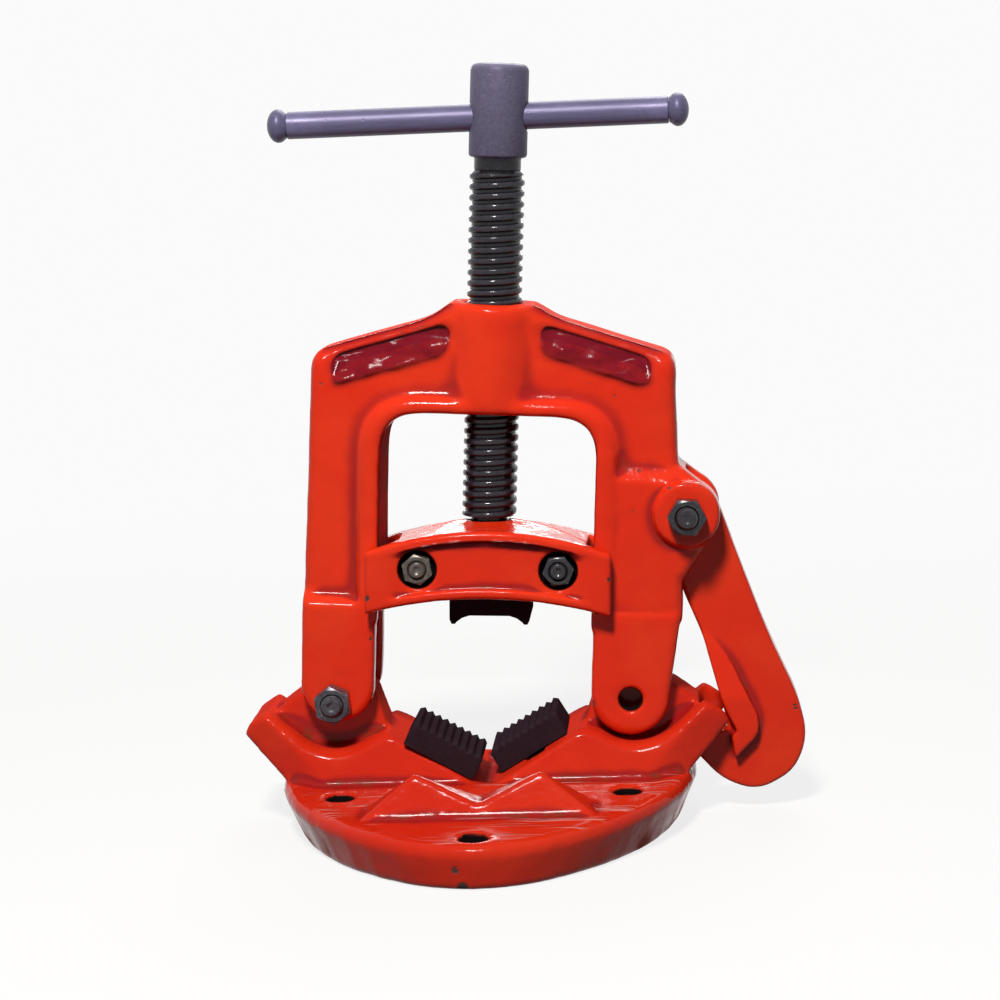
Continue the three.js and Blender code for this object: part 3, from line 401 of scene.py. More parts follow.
@dataclass(frozen=True)
class BaseEnamel(Enamel):
    """Enamel of the base, with painted glint streaks on the flange and painted shade and
    reflection, darker olive, round its foot.
    """

    glint_pink: Triple = (0.88, 0.48, 0.44)
    glint_share: float = 0.45
    glint_ridge_height: float = 1.6
    foot: Span = (0.017, 0.0017)
    sides: Span = (0.048, 0.085)
    front_foot_shade: float = 0.12
    foot_share: float = 0.85

    def use(self, shader: Shader, colour: Wire) -> tuple[Wire, Value, Value]:
        """Adds painted glint streaks on the flange and painted shade round the foot.

        Args:
            shader: the material's tree.
            colour: the colour without them.

        Returns:
            The marked colour, how matt the foot's painted shade is, and the height of the glint
            streaks.
        """
        # painted highlight: pale pink glint streaks on the flat top of the flange
        painted_glints = shader.noise(GLINT_STREAKS) * shader.noise(PATCHES) * shader.attribute("level")
        colour = shader.blend(painted_glints * self.glint_share, colour, self.glint_pink)
        # painted shade and painted reflection of dark ground: darker olive towards the foot, mostly
        # at the sides
        away = shader.node("ShaderNodeMath", {"operation": "ABSOLUTE"}, {0: shader.axis("X")})
        round_foot = self.front_foot_shade + (1.0 - self.front_foot_shade) * away.step(*self.sides)
        foot_shade = shader.axis("Z").step(*self.foot) * round_foot * shader.noise(FOOT_SHADE_NOISE)
        colour = shader.blend(foot_shade * self.foot_share, colour, self.olive_brown)
        return colour, foot_shade, self.glint_ridge_height * painted_glints


@dataclass(frozen=True)
class Steel:
    """Dark or drawn steel with scuff marks, pits and brighter worn edges."""

    name: str
    colour: Triple
    worn: Triple
    stain: Triple = (0.030, 0.018, 0.012)
    metallic: float = 1.0
    roughness: float = 0.36
    grain: Triple = (1.0, 1.0, 1.0)
    pitting: float = 0.3
    stained: float = 0.2
    mirror: float = 0.5
    blotchy: float = 1.0
    tint: Triple = WHITE
    sharp: Span = (0.25, 0.9)
    rub_least: float = 0.45
    rub_share: float = 0.85
    streaks: Span = (0.30, 0.70)
    worn_least: float = 0.08
    worn_more: float = 0.8
    rusted: Span = (0.55, 0.78)
    pit_gap: float = 0.0026
    pit_size: Span = (0.28, 0.12)
    rough_blotch: float = 0.18
    rough_streak: float = 0.14
    rough_rub: float = 0.10
    rough_rust: float = 0.15
    smoothest: float = 0.12
    streak_height: float = 0.35
    relief: float = 0.00016

    @cache
    def make(self) -> Material:
        """Builds the material once.

        Returns:
            The steel.
        """
        shader = Shader(self.name)
        drawn = shader.noise(replace(DRAWN, stretch=self.grain))
        blotch = shader.noise(BLOTCHES)
        uneven = self.blotchy * (blotch - NOISE_MEAN)
        rubbing = self.rub_least + (1.0 - self.rub_least) * shader.noise(RUBBING)
        rub = shader.attribute("edge").step(*self.sharp) * rubbing
        mixed = drawn.step(*self.streaks) * (NOISE_MEAN + uneven)
        bright = (self.worn_least + self.worn_more * mixed).at_most(1.0)
        colour = shader.blend(bright, self.colour, self.worn)
        colour = shader.blend(rub * self.rub_share, colour, self.worn)
        rust = blotch.step(*self.rusted) * self.stained
        colour = shader.blend(rust, colour, self.stain)
        pits = shader.cells(self.pit_gap).step(*self.pit_size) * shader.noise(PITTED)
        rough = self.roughness + self.rough_blotch * uneven
        rough = rough + self.rough_streak * (drawn - NOISE_MEAN)
        rough = rough - self.rough_rub * rub + self.rough_rust * rust
        return shader.surface(
            Base_Color=colour,
            Roughness=rough.at_least(self.smoothest),
            Metallic=self.metallic,
            Specular_IOR_Level=self.mirror,
            Specular_Tint=self.tint,
            Normal=shader.bump(self.streak_height * drawn - self.pitting * pits, self.relief),
        )


class Finish(Enum):
    """All finishes of the vise."""

    # painted shade: the base's red is a darker copy of the yoke's enamel
    BASE = BaseEnamel("enamel_base_shaded", (0.58, 0.019, 0.005), (0.66, 0.034, 0.008))
    PAINT = Enamel("enamel_red")
    JAW = Steel("jaw_black", (0.024, 0.013, 0.018), (0.034, 0.021, 0.028), metallic=0.0,
                roughness=0.60, pitting=0.5, stained=0.1, mirror=0.0)
    SCREW = Steel("screw_black", (0.002, 0.002, 0.003), (0.028, 0.026, 0.035), metallic=0.0,
                  roughness=0.24, stained=0.05, mirror=0.32, blotchy=0.2)
    HUB = Steel("hub_gunmetal", (0.084, 0.074, 0.124), (0.165, 0.150, 0.230), metallic=0.0,
                roughness=0.42, pitting=0.9, stained=0.0, mirror=0.22, blotchy=0.15, tint=VIOLET)
    BAR = Steel("bar_drawn", (0.064, 0.058, 0.112), (0.140, 0.130, 0.240), metallic=0.0,
                roughness=0.42, grain=(0.08, 1.0, 1.0), pitting=0.4, stained=0.03, mirror=0.62,
                blotchy=0.3, tint=VIOLET)
    BOLT = Steel("bolt_steel", (0.020, 0.018, 0.024), (0.150, 0.140, 0.165), metallic=0.5,
                 roughness=0.33, mirror=0.4)
    BLACK = Steel("bolt_black", (0.006, 0.005, 0.007), (0.060, 0.056, 0.066), metallic=0.3,
                  roughness=0.24, stained=0.05)
    BRONZED = Steel("bolt_bronzed", (0.050, 0.040, 0.036), (0.22, 0.19, 0.16),
                    (0.10, 0.040, 0.015), metallic=0.5, stained=0.5, mirror=0.4)


# Meshes

WELD = 0.02 * MM


def cad_copy(node: str) -> BMesh:
    """Copies a solid and merges its loose triangles.

    Args:
        node: the solid's name.

    Returns:
        The merged copy.
    """
    mesh = bmesh.new()
    mesh.from_mesh(frame["nodes"][node].data)
    bmesh.ops.remove_doubles(mesh, verts=mesh.verts, dist=WELD)
    return mesh


def to_object(mesh: BMesh, name: str) -> Object:
    """Turns a bmesh into a linked object at the origin.

    Args:
        mesh: the bmesh, which is freed.
        name: the object's name.

    Returns:
        The object.
    """
    data = bpy.data.meshes.new(name)
    mesh.to_mesh(data)
    mesh.free()
    made = bpy.data.objects.new(name, data)
    bpy.context.scene.collection.objects.link(made)
    return made


def settle(piece: Object) -> None:
    """Applies a piece's modifiers to its mesh.

    Args:
        piece: the piece.
    """
    graph = bpy.context.evaluated_depsgraph_get()
    data = bpy.data.meshes.new_from_object(piece.evaluated_get(graph))
    old = piece.data
    piece.modifiers.clear()
    piece.data = data
    data.name = piece.name
    bpy.data.meshes.remove(old)


def boolean(piece: Object, tool: Object, operation: str) -> Object:
    """Cuts or trims a piece with a tool, which is removed.

    Args:
        piece: the piece.
        tool: the cutting shape.
        operation: the Boolean modifier's operation.

    Returns:
        The piece.
    """
    modifier = piece.modifiers.new("cut", "BOOLEAN")
    modifier.operation = operation
    modifier.solver = "EXACT"
    modifier.object = tool
    settle(piece)
    bpy.data.objects.remove(tool)
    return piece


def merged(parts: Iterable[Object]) -> BMesh:
    """Puts several objects into one bmesh.

    Args:
        parts: the objects, which are removed.

    Returns:
        The whole.
    """
    whole = bmesh.new()
    for part in parts:
        whole.from_mesh(part.data)
        bpy.data.objects.remove(part)
    return whole


def turned(profile: Iterable[Span], steps: int, turns: int = 1, pitch: float = 0.0) -> BMesh:
    """Spins a profile round the Z axis.

    Args:
        profile: (radius, height) points in millimetres.
        steps: faces in a turn.
        turns: number of turns.
        pitch: rise of a turn in millimetres; 0 closes the turn.

    Returns:
        A bmesh in metres, closed if it has no pitch and the profile's ends are on the axis.
    """
    mesh = bmesh.new()
    points = [mesh.verts.new((radius * MM, 0.0, height * MM)) for radius, height in profile]
    edges = [mesh.edges.new(pair) for pair in zip(points, points[1:])]
    bmesh.ops.spin(mesh, geom=points + edges, cent=(0, 0, 0), axis=(0, 0, 1),
                   dvec=(0, 0, pitch * MM / steps), angle=2 * math.pi * turns, steps=steps * turns,
                   use_merge=pitch == 0.0, use_duplicate=False)
    bmesh.ops.remove_doubles(mesh, verts=mesh.verts, dist=WELD)
    bmesh.ops.recalc_face_normals(mesh, faces=mesh.faces)
    return mesh


def vectors(data: Mesh, kind: str = "co") -> np.ndarray:
    """Places or normals of a mesh's points.

    Args:
        data: the mesh.
        kind: the points' property.

    Returns:
        One row for each point.
    """
    rows = np.zeros(len(data.vertices) * 3)
    data.vertices.foreach_get(kind, rows)
    return rows.reshape(-1, 3)


def place(data: Mesh, points: np.ndarray) -> None:
    """Moves the points of a mesh."""
    data.vertices.foreach_set("co", points.astype(np.float32).ravel())
    data.update()


def ramp(values: np.ndarray, low: float, high: float) -> np.ndarray:
    """Straight ramp from 0 at low to 1 at high, which is below low for a falling ramp."""
    return np.clip((values - low) / (high - low), 0.0, 1.0)


def spread(data: Mesh, values: np.ndarray, rounds: int) -> np.ndarray:
    """Feathers one number per point over its neighbours.

    Args:
        data: the mesh.
        values: the numbers, or truths.
        rounds: how often they are averaged.

    Returns:
        The feathered numbers.
    """
    count = len(values)
    ends = np.zeros(len(data.edges) * 2, dtype=np.int64)
    data.edges.foreach_get("vertices", ends)
    first, second = ends.reshape(-1, 2).T
    share = np.maximum(np.bincount(ends, minlength=count), 1)
    values = values.astype(float)
    for _ in range(rounds):
        total = np.bincount(first, values[second], count)
        total += np.bincount(second, values[first], count)
        values = 0.5 * values + 0.5 * total / share
    return values


def blurred(data: Mesh, rounds: int) -> tuple[np.ndarray, np.ndarray]:
    """Points of a mesh, and the same averaged with their neighbours in rounds."""
    points = vectors(data)
    return points, np.stack([spread(data, column, rounds) for column in points.T], axis=1)


def store(data: Mesh, name: str, values: np.ndarray) -> None:
    """Stores one number per point on a mesh."""
    made = data.attributes.new(name, "FLOAT", "POINT")
    made.data.foreach_set("value", values.astype(np.float32))


def bend(data: Mesh, rounds: int) -> np.ndarray:
    """Metres by which the surroundings of each point lie outside it; below 0 on an edge."""
    points, soft = blurred(data, rounds)
    return ((soft - points) * vectors(data, "normal")).sum(1)


def mark_relief(data: Mesh, fine: int, coarse: int, span: float) -> None:
    """Stores how hollow and how sharp each point is; the hollowness later darkens the enamel as
    painted shade.

    Args:
        data: the mesh.
        fine: averaging rounds for edges.
        coarse: averaging rounds for hollows.
        span: millimetres of bend that count as 1 on an edge.
    """
    sharp = bend(data, fine) / (span * MM)
    hollow = bend(data, coarse) / (2.0 * span * MM) if coarse > fine else sharp
    store(data, "edge", np.clip(-sharp, 0.0, 1.0))
    store(data, "hollow", np.clip(hollow, 0.0, 1.0))


def dress(piece: Object, node: str, body: Body, finish: Finish,
          crease: float = 35.0) -> None:
    """Gives a piece its finish and its place on a body.

    Args:
        piece: the piece.
        node: the solid that it stands for.
        body: the body that it moves with.
        finish: its finish.
        crease: degrees above which an edge stays sharp.
    """
    data = piece.data
    data.materials.clear()
    data.materials.append(finish.value.make())
    for name in ("edge", "hollow", "pool_and_shade", "bore", "worn", "dull"):
        if name not in data.attributes:
            store(data, name, np.zeros(len(data.vertices)))
    data.polygons.foreach_set("use_smooth", np.ones(len(data.polygons), dtype=bool))
    data.set_sharp_from_angle(angle=math.radians(crease))
    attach(piece, body.value)
    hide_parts(node)
    LOG.info("%s stands for %s, %d faces", piece.name, node, len(data.polygons))


# The yoke's own frame: origin on the screw axis at the height of the hinge


def yoke_frame() -> Matrix:
    """Frame of the screw: Z along its axis, Y as in the world.

    Returns:
        The matrix from that frame to the world.
    """
    turn = next(entry for entry in frame["joints"] if entry["name"] == "screw_turn")
    up = -Vector(turn["axis"]).normalized()
    rear = Vector((0.0, 1.0, 0.0))
    right = rear.cross(up).normalized()
    matrix = Matrix((right, rear, up)).transposed().to_4x4()
    matrix.translation = Vector(turn["pos_m"])
    return matrix


def in_yoke(points: np.ndarray) -> np.ndarray:
    """Points in the yoke's frame: rows across, in depth and in height, in millimetres."""
    inverse = np.array(yoke_frame().inverted())
    return ((points @ inverse[:3, :3].T + inverse[:3, 3]) / MM).T


# Castings


@dataclass(frozen=True)
class Bore:
    """A drilled hole of a casting: a point of its axis, its direction and its radius."""

    point: Triple
    along: Triple
    radius: float
    rim: Span = (0.45, 0.15)

    def holds(self, points: np.ndarray) -> np.ndarray:
        """Which points lie on or inside the hole.

        Args:
            points: points in millimetres.

        Returns:
            1 inside, easing to 0 just outside.
        """
        along = np.array(self.along)
        offset = points - np.array(self.point)
        away = np.linalg.norm(offset - np.outer(offset @ along, along), axis=1)
        return ramp(away - self.radius, *self.rim)


@dataclass
class Casting:
    """One rough casting: a solid whose edges are softened as sand and paint soften them."""

    node: str
    body: Body
    voxel: float
    rounds: int
    lump: float = 0.35
    bores: tuple[Bore, ...] = ()
    knocks: tuple[tuple[float, float, float, float], ...] = ()
    span: float = 0.55
    finish: Finish = Finish.PAINT
    lump_width: float = 14.0
    lump_level: float = 0.62
    edge_rounds: int = 10
    hollow_rounds: int = 60
    crease: float = 70.0

    def build(self) -> None:
        """Makes the casting."""
        piece = to_object(cad_copy(self.node), f"{self.node}_casting")
        remesh = piece.modifiers.new("skin", "REMESH")
        remesh.mode = "VOXEL"
        remesh.voxel_size = self.voxel * MM
        soften = piece.modifiers.new("soften", "SMOOTH")
        soften.factor = 0.5
        soften.iterations = self.rounds
        clouds = bpy.data.textures.new(f"{self.node}_lumps", "CLOUDS")
        clouds.noise_scale = self.lump_width * MM
        clouds.noise_depth = 1
        lumps = piece.modifiers.new("lumps", "DISPLACE")
        lumps.texture = clouds
        lumps.texture_coords = "LOCAL"
        lumps.mid_level = self.lump_level
        lumps.strength = self.lump * MM
        settle(piece)
        self.pool_and_shade(piece.data)
        self.hold_inside(piece.data)
        mark_relief(piece.data, self.edge_rounds, self.hollow_rounds, self.span)
        self.shade(piece.data)
        self.mark_wear(piece.data)
        dress(piece, self.node, self.body, self.finish, self.crease)

    def pool_and_shade(self, data: Mesh) -> None:
        """Stores where paint lies thick and shade is painted; plain castings have no such place."""

    def shade(self, data: Mesh) -> None:
        """Stores where the paint is thin and dull; plain castings are glossy all over."""

    def hold_inside(self, data: Mesh) -> None:
        """Keeps a mesh inside its solid's box."""
        low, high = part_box(self.node)
        place(data, np.clip(vectors(data), np.array(low), np.array(high)))

    def mark_wear(self, data: Mesh) -> None:
        """Stores the insides of holes, which get painted shade, and the places where the paint is
        knocked off.

        Args:
            data: the casting's mesh.
        """
        points = vectors(data) / MM
        inside = np.zeros(len(points))
        for bore in self.bores:
            inside = np.maximum(inside, bore.holds(points))
        store(data, "bore", inside)
        knocked = np.zeros(len(points))
        for *middle, radius in self.knocks:
            away = np.linalg.norm(points - middle, axis=1)
            knocked = np.maximum(knocked, ramp(away, radius, 0.0))
        store(data, "worn", knocked)


@dataclass
class YokeCasting(Casting):
    """The yoke, with paint pooling and painted shade in the pockets of its shoulders, and painted
    shade on the walls of its window.
    """

    face: float = 18.5
    rim: Span = (0.5, 3.0)
    deepest: float = 6.5
    sides: Span = (16.0, 79.0)
    heights: Span = (146.0, 190.0)
    pocket_height: float = 14.0
    shallow: float = 0.4
    lean: float = 8.4
    web_depth: Span = (11.0, 15.0)
    web_height: Span = (70.0, 100.0)
    window: float = 50.5
    window_edge: float = 1.0
    window_height: Span = (50.0, 138.7)
    pad_top: float = 124.0
    bowl_full: float = 0.9
    bowl_feather: int = 12
    web_feather: int = 6
    softening: int = 26
    wall_facing: float = 0.8
    top_facing: float = 0.7
    top_dull: float = 0.8

    def pool_and_shade(self, data: Mesh) -> None:
        """Leans the floors of the shoulder pockets, softens the arch and marks the pockets for
        paint pooling and painted shade.

        Args:
            data: the yoke's mesh.
        """
        points = vectors(data)
        across, depth, height = in_yoke(points)
        sunk = self.face - np.abs(depth)
        inside = (np.abs(across) > self.sides[0]) & (np.abs(across) < self.sides[1])
        inside &= (height > self.heights[0]) & (height < self.heights[1]) & (sunk < self.deepest)
        bowl = np.where(inside, ramp(sunk, *self.rim), 0.0)
        for half in (across < 0.0, across > 0.0):
            floor = half & (bowl > self.bowl_full)
            slope, middle = np.polyfit(across[floor], height[floor], 1)
            above = height - middle - slope * across
            rise = ramp(above, -self.pocket_height / 2, self.pocket_height / 2)
            sunk = np.where(half, sunk + bowl * (self.shallow + self.lean * rise - sunk), sunk)
        moved = np.sign(depth) * (self.face - sunk) * MM
        points[:, 1] = np.where(bowl > 0.0, moved, points[:, 1])
        place(data, points)
        # the feathered border spreads painted shade round the pockets
        bowl = spread(data, bowl, self.bowl_feather)
        web = ramp(np.abs(depth), *self.web_depth) * ramp(height, *self.web_height)
        web = np.where((across > self.window) & (height < self.pad_top), 0.0, web)
        ease = np.maximum(bowl, spread(data, web, self.web_feather))
        points, soft = blurred(data, self.softening)
        place(data, points + (soft - points) * ease[:, None])
        store(data, "pool_and_shade", bowl)

    def shade(self, data: Mesh) -> None:
        """Darkens the walls of the window with painted shade and dulls the top of the arch.

        Args:
            data: the yoke's mesh.
        """
        across, _, height = in_yoke(vectors(data))
        facing, _, upward = (vectors(data, "normal") @ np.array(yoke_frame().to_3x3())).T
        low, high = self.window_height
        inside = np.abs(across) < self.window + self.window_edge
        inside &= (height > low) & (height < high)
        shaded_wall = spread(data, inside & (np.abs(facing) > self.wall_facing), 3)
        top = (height > self.heights[0]) & (upward > self.top_facing)
        store(data, "dull", np.maximum(shaded_wall, spread(data, self.top_dull * top, 2)))
        # painted shade: the window's walls are raised to full hollowness, which darkens them
        hollow = np.zeros(len(shaded_wall), dtype=np.float32)
        stored = data.attributes["hollow"].data
        stored.foreach_get("value", hollow)
        stored.foreach_set("value", np.maximum(hollow, shaded_wall).astype(np.float32))


@dataclass
class BaseCasting(Casting):
    """The base, with dull paint on the jaw seats and in the trough between them."""

    finish: Finish = Finish.BASE
    seat_depth: float = 40.0
    seat_height: float = 26.0
    seat_facing: float = 0.5
    notch: float = 13.0
    notch_front: float = -60.0
    notch_height: float = 18.0
    flange_height: float = 29.0
    flange_facing: float = 0.9

    def shade(self, data: Mesh) -> None:
        """Dulls the seats and the trough, and marks the top of the flange where the glint streaks
        are painted.

        Args:
            data: the base's mesh.
        """
        _, rearward, upward = vectors(data, "normal").T
        across, depth, height = vectors(data).T / MM
        seat = (np.abs(depth) < self.seat_depth) & (height > self.seat_height)
        seat &= np.abs(rearward) < self.seat_facing
        notch = (np.abs(across) < self.notch) & (depth > self.notch_front)
        notch &= height > self.notch_height
        store(data, "dull", spread(data, seat | notch, 3))
        flat = (upward > self.flange_facing) & (height < self.flange_height)
        store(data, "level", spread(data, flat, 2))


@dataclass
class CarrierCasting(Casting):
    """Half of the jaw carrier, with a painted shadow and paint pooling under the lip of its panel.
    """

    drop: float = 0.0
    crown: float = 86.0
    end: float = 75.5
    half: float = 57.7
    panel: float = 45.0
    panel_end: float = 6.0
    bolts_at: float = 67.5
    face: float = 30.0
    upper: Span = (3.8, 4.6)
    lower: Span = (7.6, 5.6)

    def pool_and_shade(self, data: Mesh) -> None:
        """Marks the groove under the lip for a painted shadow and paint pooling.

        Args:
            data: the carrier half's mesh.
        """
        left, right = (Vector(bore.point) for bore in self.bores)
        along = (right - left).normalized()
        upward = Vector((-along.z, 0.0, along.x))
        points = vectors(data) / MM
        offset = points - np.array((left + right) / 2)
        across = offset @ np.array(along)
        height = offset @ np.array(upward) + self.bolts_at
        edge = self.crown - self.drop - (self.crown - self.end) * (across / self.half) ** 2
        groove = ramp(edge - height, *self.upper) * ramp(edge - height, *self.lower)
        groove *= ramp(np.abs(across), self.panel, self.panel - self.panel_end)
        groove = np.where(np.abs(points[:, 1]) > self.face, groove, 0.0)
        store(data, "pool_and_shade", spread(data, groove, 2))


# Steel pieces


def bevel(mesh: BMesh, edges: list[bmesh.types.BMEdge], width: float) -> None:
    """Rounds edges of a bmesh over a width in millimetres."""
    bmesh.ops.bevel(mesh, geom=edges, offset=width * MM, offset_type="OFFSET", affect="EDGES",
                    segments=2, profile=0.5, material=-1, clamp_overlap=True)


@dataclass
class Jaw:
    """A hardened jaw with slightly blunted teeth."""

    node: str
    body: Body
    blunt: float = 0.22
    flat: float = math.radians(2)
    sharp: float = math.radians(25)
    longest: float = 4.0
    span: float = 0.25

    def build(self) -> None:
        """Makes the jaw."""
        mesh = cad_copy(self.node)
        bmesh.ops.dissolve_limit(mesh, angle_limit=self.flat, verts=mesh.verts, edges=mesh.edges)
        inner = [edge for edge in mesh.edges if edge.is_manifold]
        bevel(mesh, [edge for edge in inner if edge.calc_face_angle() > self.sharp], self.blunt)
        bmesh.ops.triangulate(mesh, faces=mesh.faces)
        long = [edge for edge in mesh.edges if edge.calc_length() > self.longest * MM]
        bmesh.ops.subdivide_edges(mesh, edges=long, cuts=2, use_grid_fill=True)
        piece = to_object(mesh, f"{self.node}_hardened")
        mark_relief(piece.data, 1, 1, self.span)
        dress(piece, self.node, self.body, Finish.JAW)


@dataclass
class ScrewAssembly:
    """Screw with button end and hub, and its bar; heights are in the yoke's frame."""

    pitch: float = 5.0
    crest: float = 13.0
    root: float = 11.6
    thread_from: float = 89.0
    thread_to: float = 252.0
    thread_taper: float = 1.1
    turn_steps: int = 48
    hub_from: float = 258.0
    hub_length: float = 43.6
    hub_radius: float = 13.7
    neck_radius: float = 11.0
    core_radius: float = 8.5
    hole_rise: float = 18.7
    hole_radius: float = 7.2
    bar_radius: float = 6.35
    bar_edge: float = 0.6
    bar_rings: tuple[float, ...] = (-60.0, -20.0, 20.0, 60.0)
    spigot: Span = (4.0, 4.2)
    button: Triple = (12.5, 65.0, 72.0)
    knob_radius: float = 7.8
    knob_half: float = 5.2
    knob_socket: Span = (4.4, 4.9)
    crease: float = 40.0
    round_steps: int = 64
    hub_steps: int = 96

    def thread(self) -> BMesh:
        """Sweeps the thread's section along its helix and trims both ends.

        Returns:
            A closed bmesh.
        """
        half, root, crest = self.pitch / 2, self.root, self.crest
        section = [
            (root, -half), (root, -1.85), (root + 0.25, -1.65), (crest - 0.75, -1.45),
            (crest - 0.25, -1.15), (crest, -0.55), (crest, 0.45), (crest - 0.2, 1.0),
            (crest - 0.7, 1.5), (root + 0.2, 1.75), (root, 1.95), (root, half),
        ]
        turns = math.ceil((self.thread_to - self.thread_from) / self.pitch) + 3
        low = self.thread_from - 1.5 * self.pitch
        section = [(radius, low + height) for radius, height in section]
        mesh = turned(section, self.turn_steps, turns, self.pitch)
        for height, side in ((self.thread_from * MM, -1), (self.thread_to * MM, 1)):
            everything = mesh.verts[:] + mesh.edges[:] + mesh.faces[:]
            bmesh.ops.bisect_plane(mesh, geom=everything, plane_co=(0, 0, height),
                                   plane_no=(0, 0, side), clear_outer=True)
            rim = [edge for edge in mesh.edges if edge.is_boundary
                   and all(abs(vert.co.z - height) < WELD / 2 for vert in edge.verts)]
            bmesh.ops.edgeloop_fill(mesh, edges=rim)
        for vert in mesh.verts:
            below = self.thread_to * MM - vert.co.z
            reach = self.neck_radius * MM + self.thread_taper * below
            radius = vert.co.xy.length
            if radius > reach:
                vert.co.xy *= reach / radius
        bmesh.ops.recalc_face_normals(mesh, faces=mesh.faces)
        return mesh

    def stem(self) -> BMesh:
        """Turns the button end and the core up to the thread.

        Returns:
            A closed bmesh.
        """
        wide, low, high = self.button
        core, end = self.core_radius, self.thread_from + 1
        return turned([
            (0, low), (wide - 1, low), (wide, low + 1), (wide, high - 0.4), (wide - 0.4, high),
            (core, high), (core, end), (0, end),
        ], self.round_steps)

    def hub(self) -> Object:
        """Turns the hub and drills the bar's hole.

        Returns:
            The hub in the screw's frame.
        """
        start, low, top = self.thread_to, self.hub_from, self.hub_from + self.hub_length
        neck, core, outer = self.neck_radius, self.core_radius, self.hub_radius
        hub = to_object(turned([
            (0, start - 3), (core, start - 3), (core, start), (neck - 0.3, start),
            (neck, start + 0.3), (neck, low - 0.6), (neck + 0.5, low), (outer - 1.2, low),
            (outer - 0.5, low + 0.4), (outer, low + 1.3), (outer, top - 3.6),
            (outer - 0.3, top - 2.4), (outer - 1.0, top - 1.3), (outer - 2.1, top - 0.6),
            (outer - 3.4, top - 0.3), (outer - 6.0, top - 0.1), (0, top),
        ], self.hub_steps), "hub_blank")
        drill = bmesh.new()
        radius = self.hole_radius * MM
        bmesh.ops.create_cone(drill, cap_ends=True, segments=self.round_steps, radius1=radius,
                              radius2=radius, depth=4 * outer * MM)
        lean = Vector(UPRIGHT).angle(yoke_frame().to_3x3() @ Vector(UPRIGHT))
        turn = Matrix.Rotation(-lean / 2, 4, "Y") @ Matrix.Rotation(math.pi / 2, 4, "Y")
        rise = Matrix.Translation((0, 0, (low + self.hole_rise) * MM))
        bmesh.ops.transform(drill, matrix=rise @ turn, verts=drill.verts)
        return boolean(hub, to_object(drill, "hub_drill"), "DIFFERENCE")

    def build(self) -> None:
        """Makes screw, bar and knobs."""
        hub = self.hub()
        whole = merged([to_object(self.thread(), "thread"), to_object(self.stem(), "stem"), hub])
        bmesh.ops.transform(whole, matrix=yoke_frame(), verts=whole.verts)
        piece = to_object(whole, "screw_threaded")
        self.mark_crests(piece.data)
        dress(piece, "screw", Body.SCREW, Finish.SCREW, self.crease)
        piece.data.materials.append(Finish.HUB.value.make())
        faces = piece.data.polygons
        middles = np.zeros(3 * len(faces), dtype=np.float32)
        faces.foreach_get("center", middles)
        on_hub = in_yoke(middles.reshape(-1, 3))[2] > self.hub_from - 0.3
        faces.foreach_set("material_index", on_hub.astype(np.int32))
        self.bar()

    def mark_crests(self, data: Mesh) -> None:
        """Marks the thread's crests as worn bright, and the hub's upper rim brighter as a painted
        highlight.

        Args:
            data: the screw's mesh.
        """
        across, depth, height = in_yoke(vectors(data))
        radius = np.hypot(across, depth)
        top = self.hub_from + self.hub_length
        crests = ramp(radius, self.root + 0.5, self.crest - 0.1)
        # painted highlight: the hub's upper chamfer ring turns lighter
        rim = ramp(height, top - 2.6, top - 1.4) * ramp(radius, 8.0, 10.0)
        store(data, "edge", np.where(height < self.thread_to, crests, rim))

    def bar(self) -> None:
        """Makes the bar and its two knobs."""
        low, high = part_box("tommy_bar")
        middle = (low + high) / 2
        half = (high.x - low.x) / 2 / MM
        thin, length = self.spigot
        wide, edge, shoulder = self.bar_radius, self.bar_edge, half - length
        rod = turned([
            (0, -half), (thin, -half), (thin, -shoulder), (wide - edge, -shoulder),
            (wide, edge - shoulder), *((wide, ring) for ring in self.bar_rings),
            (wide, shoulder - edge), (wide - edge, shoulder), (thin, shoulder), (thin, half),
            (0, half),
        ], self.round_steps)
        pieces = [(rod, "tommy_bar", middle, 1)]
        for node, side in (("tommy_ball_left", -1), ("tommy_ball_right", 1)):
            low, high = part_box(node)
            pieces.append((self.knob((high.x - low.x) / MM), node, (low + high) / 2, side))
        for mesh, node, middle, side in pieces:
            turn = Matrix.Rotation(side * math.pi / 2, 4, "Y")
            bmesh.ops.transform(mesh, matrix=Matrix.Translation(middle) @ turn, verts=mesh.verts)
            piece = to_object(mesh, f"{node}_drawn")
            mark_relief(piece.data, 2, 2, 0.3)
            dress(piece, node, Body.BAR, Finish.BAR)

    def knob(self, length: float) -> BMesh:
        """Turns a flattened riveted knob.

        Args:
            length: its length in millimetres.

        Returns:
            The knob about its middle, with its outer end up.
        """
        half = length / 2
        wide, deep = self.knob_socket
        profile = [(0, deep - half), (wide, deep - half), (wide, -half)]
        profile += [(5.6, -half), (6.0, 0.4 - half)]
        for degree in range(-36, 90, 9):
            angle = math.radians(degree)
            height = half - self.knob_half + self.knob_half * math.sin(angle)
            profile.append((self.knob_radius * math.cos(angle), height))
        return turned([*profile, (0, half)], self.round_steps)


